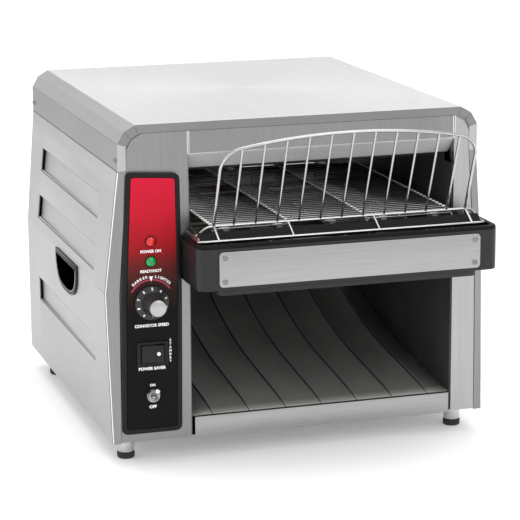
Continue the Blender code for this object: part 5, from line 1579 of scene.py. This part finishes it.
# ------------------------------------------------------------------ indicator lamps
# Two neon lamps with domed lenses, red for power and green for ready. Each dome is faceted
# inside, and a black collar holds it.
def lamp_lens(name, colour, glow):
    """Tinted clear plastic over a glowing element, with fine facets inside."""
    material = bpy.data.materials.new(name)
    material.use_nodes = True
    nodes = material.node_tree.nodes
    links = material.node_tree.links
    shader = nodes["Principled BSDF"]
    shader.label = "tinted lens"
    place = nodes.new("ShaderNodeTexCoord")
    place.label = "position on the lens"
    facets = nodes.new("ShaderNodeTexVoronoi")
    facets.label = "facets behind the dome"
    depth = nodes.new("ShaderNodeMapRange")
    depth.label = "facets shade the tint"
    tint = nodes.new("ShaderNodeMix")
    tint.label = "tint"
    for node, location in ((shader, (300, 0)), (place, (-800, 0)), (facets, (-550, 0)),
                           (depth, (-300, 100)), (tint, (-50, 100))):
        node.location = location
    facets.inputs["Scale"].default_value = 520.0
    depth.inputs["From Max"].default_value = 0.7
    tint.data_type = "RGBA"
    tint.inputs["A"].default_value = (*[c * 0.25 for c in colour], 1)
    tint.inputs["B"].default_value = (*colour, 1)
    shader.inputs["Roughness"].default_value = 0.08
    shader.inputs["IOR"].default_value = 1.49
    shader.inputs["Emission Strength"].default_value = glow
    shader.inputs["Coat Weight"].default_value = 0.5
    links.new(place.outputs["Object"], facets.inputs["Vector"])
    links.new(facets.outputs["Distance"], depth.inputs["Value"])
    links.new(depth.outputs["Result"], tint.inputs["Factor"])
    links.new(tint.outputs["Result"], shader.inputs["Base Color"])
    links.new(tint.outputs["Result"], shader.inputs["Emission Color"])
    return material


for node, height, radius, colour in (
        ("power_lamp", 0.2130, 0.0057, (0.70, 0.012, 0.010)),
        ("ready_lamp", 0.1921, 0.0060, (0.006, 0.30, 0.070))):
    lamp_base = (control_x, label_low.y - 0.0004, sheet_z + height)
    dome = [(0.0, 0.0033), (0.35 * radius, 0.0031), (0.62 * radius, 0.0025),
            (0.80 * radius, 0.0017), (0.88 * radius, 0.0008), (0.88 * radius, 0.0),
            (0.0040, -0.0002), (0.0040, -0.0170), (0.0037, -0.0174), (0.0, -0.0174)]
    lens = lamp_lens(f"{node}_lens", colour, 0.16)
    turned_piece(f"{node}_dome", dome, lamp_base, (0, -1, 0), lens, "casing",
                 [node], 32)
    collar = [(0.90 * radius, 0.0010), (0.93 * radius, 0.0013), (0.98 * radius, 0.0011),
              (radius, 0.0006), (radius, 0.0001), (0.90 * radius, 0.0001)]
    turned_piece(f"{node}_collar", collar, lamp_base, (0, -1, 0), bezel_plastic, "casing",
                 (), 32)


# ------------------------------------------------------------------ standby rocker
# A black clip-in rocker switch. Its two faces meet in a shallow V, and the right one carries
# a white dot.
settle("rocker_housing", rounded_front("rocker_frame", 0.0007, 3), bezel_plastic, "casing",
       ["rocker_frame"], sharp=50)
paddle = outline_of("standby_rocker")
nearest = min(vert.co.y for vert in paddle.verts)
paddle_rims = [edge for edge in sharp_edges(paddle, 40)
               if sum(vert.co.y for vert in edge.verts) / 2 < nearest + 0.0075]
round_bends(paddle, paddle_rims, 0.0004, 3)
rocker_gloss = moulded_plastic("rocker_plastic", (0.007, 0.007, 0.008), 0.22, 0.03, 0.25)
pressed = max((face for face in paddle.faces if face.normal.y < -0.8
               and face.calc_center_median().x > control_x), key=lambda f: f.calc_area())
dot_middle = Vector((control_x + 0.0058, 0, sheet_z + 0.0955))
corner_point = pressed.verts[0].co
across_x = pressed.normal.x * (dot_middle.x - corner_point.x)
across_z = pressed.normal.z * (dot_middle.z - corner_point.z)
dot_middle.y = corner_point.y - (across_x + across_z) / pressed.normal.y
dot_turn = pressed.normal.to_track_quat("Z", "Y").to_matrix().to_4x4()
dot_lift = pressed.normal * 0.00006
settle("rocker_paddle", paddle, rocker_gloss, "rocker", ["standby_rocker"],
       sharp=40)
dot_shape = bmesh.new()
bmesh.ops.create_circle(dot_shape, cap_ends=True, radius=0.0019, segments=32,
                        matrix=Matrix.Translation(dot_middle + dot_lift) @ dot_turn)
settle("rocker_dot", dot_shape, white_ink, "rocker")


# ------------------------------------------------------------------ mains toggle
# A chromed toggle switch: its bush passes through the film, a washer and a hexagon nut clamp
# it, and a bat lever stands up in its ball seat.
toggle_z = sheet_z + 0.0508
nut_back = label_low.y - 0.0003
chrome = brushed_steel("bright_chrome", 0.80, (80, 80, 80), 0.10)
nut_chrome = brushed_steel("nut_chrome", 0.46, (80, 80, 80), 0.12)
switch_profile = [(0.0, 0.0022), (0.0046, 0.0022), (0.0045, 0.0062), (0.0049, 0.0065),
                  (0.0054, 0.0062), (0.0056, 0.0056), (0.0052, 0.0052), (0.0056, 0.0048),
                  (0.0052, 0.0044), (0.0056, 0.0040), (0.0056, 0.0010), (0.0057, -0.0078),
                  (0.0088, -0.0078), (0.0093, -0.0083), (0.0093, -0.0285),
                  (0.0088, -0.0290), (0.0, -0.0290)]
turned_piece("toggle_bush", switch_profile, (control_x, nut_back, toggle_z), (0, -1, 0),
             nut_chrome, "casing", ["toggle_switch_body"], 36, 30)
washer_profile = [(0.0058, 0.0008), (0.0076, 0.0008), (0.0080, 0.0005), (0.0081, 0.0001),
                  (0.0058, 0.0001)]
turned_piece("toggle_washer", washer_profile, (control_x, nut_back, toggle_z), (0, -1, 0),
             bezel_plastic, "casing", (), 36)
nut_shape = bmesh.new()
nut_rings = []
for radius, reach, hexed in ((0.0058, 0.0010, 0.0), (0.0058, 0.0028, 0.0),
                             (0.0066, 0.0028, 0.0), (0.0068, 0.0025, 0.7),
                             (0.0068, 0.0013, 0.7), (0.0066, 0.0010, 0.0)):
    ring = []
    for step in range(36):
        angle = 2 * math.pi * step / 36
        off_flat = (angle + math.radians(15)) % math.radians(60) - math.radians(30)
        hexagon = math.cos(math.radians(30)) / math.cos(off_flat)
        reach_out = radius * (1 - hexed + hexed * hexagon * 1.08)
        ring.append((control_x + reach_out * math.cos(angle), nut_back - reach,
                     toggle_z + reach_out * math.sin(angle)))
    nut_rings.append(ring)
bridge_rings(nut_shape, nut_rings, joined=True)
bmesh.ops.recalc_face_normals(nut_shape, faces=nut_shape.faces)
settle("toggle_nut", nut_shape, nut_chrome, "casing", sharp=25)
toggle_pivot = (control_x, label_low.y - 0.0028, toggle_z)
toggle_tilt = math.radians(30)
bat_profile = [(0.0, 0.0220), (0.0013, 0.0218), (0.0022, 0.0211), (0.0027, 0.0200),
               (0.0029, 0.0186), (0.0027, 0.0168), (0.0021, 0.0118), (0.0016, 0.0078),
               (0.0015, 0.0030), (0.0022, 0.0019), (0.0030, 0.0010), (0.0034, 0.0),
               (0.0030, -0.0014), (0.0020, -0.0027), (0.0, -0.0034)]
turned_piece("toggle_bat", bat_profile, toggle_pivot,
             (0, -math.cos(toggle_tilt), math.sin(toggle_tilt)), chrome, "toggle",
             ["toggle_lever"], 28, 60)


# ------------------------------------------------------------------ electrical parts
# Inside are a circuit board and a screw terminal block. A square fan sits behind a round hole
# in the rear sheet, under a guard of plated wire.
def speckled_board(name, mask, copper):
    """Green solder mask with darker tracks under it."""
    material = bpy.data.materials.new(name)
    material.use_nodes = True
    nodes = material.node_tree.nodes
    links = material.node_tree.links
    shader = nodes["Principled BSDF"]
    shader.label = "solder mask"
    place = nodes.new("ShaderNodeTexCoord")
    place.label = "position on the board"
    tracks = nodes.new("ShaderNodeTexBrick")
    tracks.label = "tracks"
    turned_place = nodes.new("ShaderNodeMapping")
    turned_place.label = "lay the tracks in the board's plane"
    for node, location in ((shader, (300, 0)), (place, (-800, 0)), (tracks, (-500, 0)),
                           (turned_place, (-650, 200))):
        node.location = location
    turned_place.inputs["Rotation"].default_value = (0, math.radians(90), 0)
    tracks.inputs["Scale"].default_value = 140.0
    tracks.inputs["Mortar Size"].default_value = 0.03
    tracks.inputs["Color1"].default_value = (*mask, 1)
    tracks.inputs["Color2"].default_value = (*[c * 0.7 for c in mask], 1)
    tracks.inputs["Mortar"].default_value = (*copper, 1)
    shader.inputs["Roughness"].default_value = 0.35
    links.new(place.outputs["Object"], turned_place.inputs["Vector"])
    links.new(turned_place.outputs["Vector"], tracks.inputs["Vector"])
    links.new(tracks.outputs["Color"], shader.inputs["Base Color"])
    return material


board_shape = outline_of("control_board")
ease_rims(board_shape, cut_rim)
board_mask = speckled_board("board_mask", (0.010, 0.10, 0.035), (0.05, 0.20, 0.06))
settle("control_board_assembly", board_shape, board_mask, "casing",
       ["control_board"], sharp=40)
block_shape = outline_of("terminal_block")
settle("terminal_block_moulding", block_shape, bezel_plastic, "casing",
       ["terminal_block"], sharp=40)
block_low, block_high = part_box("terminal_block")
clamp_screws = bmesh.new()
for number in range(4):
    y = block_low.y + 0.009 + 0.0125 * number
    screw_head(clamp_screws, (block_low.x + 0.0095, y, block_high.z), (0, 0, 1), 0.0030, 0.0012)
settle("terminal_screws", clamp_screws, screw_steel)

fan_low, fan_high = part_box("fan_frame")
fan_middle = (fan_low + fan_high) / 2
fan_plastic = moulded_plastic("fan_plastic", (0.016, 0.016, 0.017), 0.5)
fan_shape = outline_of("fan_frame")
fan_half = 0.030
corner_posts = [edge for edge in sharp_edges(fan_shape, 80)
                if abs(edge.verts[0].co.x - edge.verts[1].co.x) < 1e-6
                and abs(edge.verts[0].co.z - edge.verts[1].co.z) < 1e-6
                and abs(abs(edge.verts[0].co.x - fan_middle.x) - fan_half) < 1e-4
                and abs(abs(edge.verts[0].co.z - fan_middle.z) - fan_half) < 1e-4]
round_bends(fan_shape, corner_posts, 0.0035, 5)
settle("fan_frame_moulding", fan_shape, fan_plastic, "casing",
       ["fan_frame"], sharp=40)
rotor_low, rotor_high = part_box("fan_rotor")
rotor_y = (rotor_low.y + rotor_high.y) / 2
rotor_shape = bmesh.new()
hub_line = [(0.0, 0.0080), (0.0105, 0.0080), (0.0116, 0.0076), (0.0120, 0.0066),
            (0.0120, -0.0078), (0.0, -0.0078)]
spin_profile(rotor_shape, [(fan_middle.x + r, rotor_y + reach, fan_middle.z)
                           for r, reach in hub_line],
             (0, 1, 0), (fan_middle.x, 0, fan_middle.z), 40)
blade_root, half_chord, blade_count = 0.0112, 0.0068, 7
for number in range(blade_count):
    rows = []
    for out in (blade_root, 0.0150, 0.0190, 0.0228, 0.0262):
        twist = math.radians(52 - 900 * (out - blade_root))
        row = []
        for chord in (-1.0, -0.5, 0.0, 0.5, 1.0):
            for skin in (-0.0005, 0.0005):
                camber = 0.0012 * (1 - chord * chord)
                along = chord * half_chord * math.cos(twist)
                ahead = chord * half_chord * math.sin(twist) + camber + skin
                angle = 2 * math.pi * number / blade_count + along / out
                row.append(rotor_shape.verts.new((fan_middle.x + out * math.cos(angle),
                                                  rotor_y + ahead,
                                                  fan_middle.z + out * math.sin(angle))))
        rows.append(row)
    for near, far in zip(rows, rows[1:]):
        for k in range(4):
            a, b = 2 * k, 2 * k + 2
            rotor_shape.faces.new((near[a], near[b], far[b], far[a]))
            rotor_shape.faces.new((near[a + 1], far[a + 1], far[b + 1], near[b + 1]))
        rotor_shape.faces.new((near[0], far[0], far[1], near[1]))
        rotor_shape.faces.new((near[8], near[9], far[9], far[8]))
    for row in (rows[0], rows[-1]):
        for k in range(4):
            a, b = 2 * k, 2 * k + 2
            rotor_shape.faces.new((row[a], row[a + 1], row[b + 1], row[b]))
bmesh.ops.recalc_face_normals(rotor_shape, faces=rotor_shape.faces)
settle("fan_impeller", rotor_shape, fan_plastic, "fan_wheel",
       ["fan_rotor"], sharp=40)
guard_wire = 0.0008
guard_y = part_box("rear_panel")[1].y + 0.0016


def on_guard(radius, degrees, y):
    """A point of the fan's guard, that far out from its middle."""
    angle = math.radians(degrees)
    return (fan_middle.x + radius * math.cos(angle), y, fan_middle.z + radius * math.sin(angle))


guard_rings = wires_shape([[on_guard(radius, 15 * step, guard_y) for step in range(24)]
                           for radius in (0.0070, 0.0130, 0.0190, 0.0250)],
                          guard_wire, 2, closed=True)
spoke_y = guard_y - guard_wire
spokes = [[on_guard(0.0050, degrees, spoke_y), on_guard(0.0300, degrees, spoke_y)]
          for degrees in (45, 135, 225, 315)]
add_shape(guard_rings, wires_shape(spokes, guard_wire, 2))
plated_guard = brushed_steel("guard_wire", 0.6, (60, 60, 60), 0.22)
settle("fan_guard", guard_rings, plated_guard, "casing", sharp=60)


# ------------------------------------------------------------------ cord gland
# A black nylon gland at the rear, with a round clamping nut. The cord itself isn't part of
# this model.
gland_x, gland_z = 0.128, sheet_z + 0.060
gland_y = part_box("rear_panel")[1].y
gland_profile = [(0.0052, 0.0110), (0.0068, 0.0110), (0.0072, 0.0105), (0.0084, 0.0034),
                 (0.0088, 0.0031), (0.0112, 0.0030), (0.0118, 0.0026), (0.0118, 0.0004),
                 (0.0080, 0.0003), (0.0080, -0.0088), (0.0052, -0.0090)]
turned_piece("gland_nut", gland_profile, (gland_x, gland_y, gland_z), (0, 1, 0), bezel_plastic,
             "casing", ["cord_gland"], 36, 30)


# ------------------------------------------------------------------ feet
# Bright round posts screwed into the base pan, each with a black rubber pad that has a groove
# round it.
foot_metal = brushed_steel("foot_metal", 0.55, (300, 300, 20), 0.25)
rubber = moulded_plastic("foot_rubber", (0.018, 0.018, 0.018), 0.7, 0.3)
for end_name in ("front", "rear"):
    for side_name in ("left", "right"):
        post_low, post_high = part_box(f"{end_name}_{side_name}_foot")
        centre = (post_low + post_high) / 2
        post_profile = [(0.0, post_high.z - 0.0002), (0.0060, post_high.z - 0.0002),
                        (0.0062, post_high.z - 0.0014), (0.0078, post_high.z - 0.0016),
                        (0.0084, post_high.z - 0.0026), (0.0086, post_high.z - 0.0040),
                        (0.0086, post_low.z + 0.0010), (0.0082, post_low.z), (0.0, post_low.z)]
        turned_piece(f"{end_name}_{side_name}_post", post_profile, (centre.x, centre.y, 0),
                     (0, 0, 1), foot_metal, "casing",
                     [f"{end_name}_{side_name}_foot"], 36, 30)
        pad_profile = [(0.0, 0.0065), (0.0090, 0.0065), (0.0093, 0.0062), (0.0093, 0.0048),
                       (0.0089, 0.0045), (0.0093, 0.0042), (0.0093, 0.0018), (0.0090, 0.0010),
                       (0.0084, 0.0003), (0.0078, 0.0), (0.0, 0.0)]
        turned_piece(f"{end_name}_{side_name}_rubber", pad_profile, (centre.x, centre.y, 0),
                     (0, 0, 1), rubber, "casing",
                     [f"{end_name}_{side_name}_pad"], 36, 30)
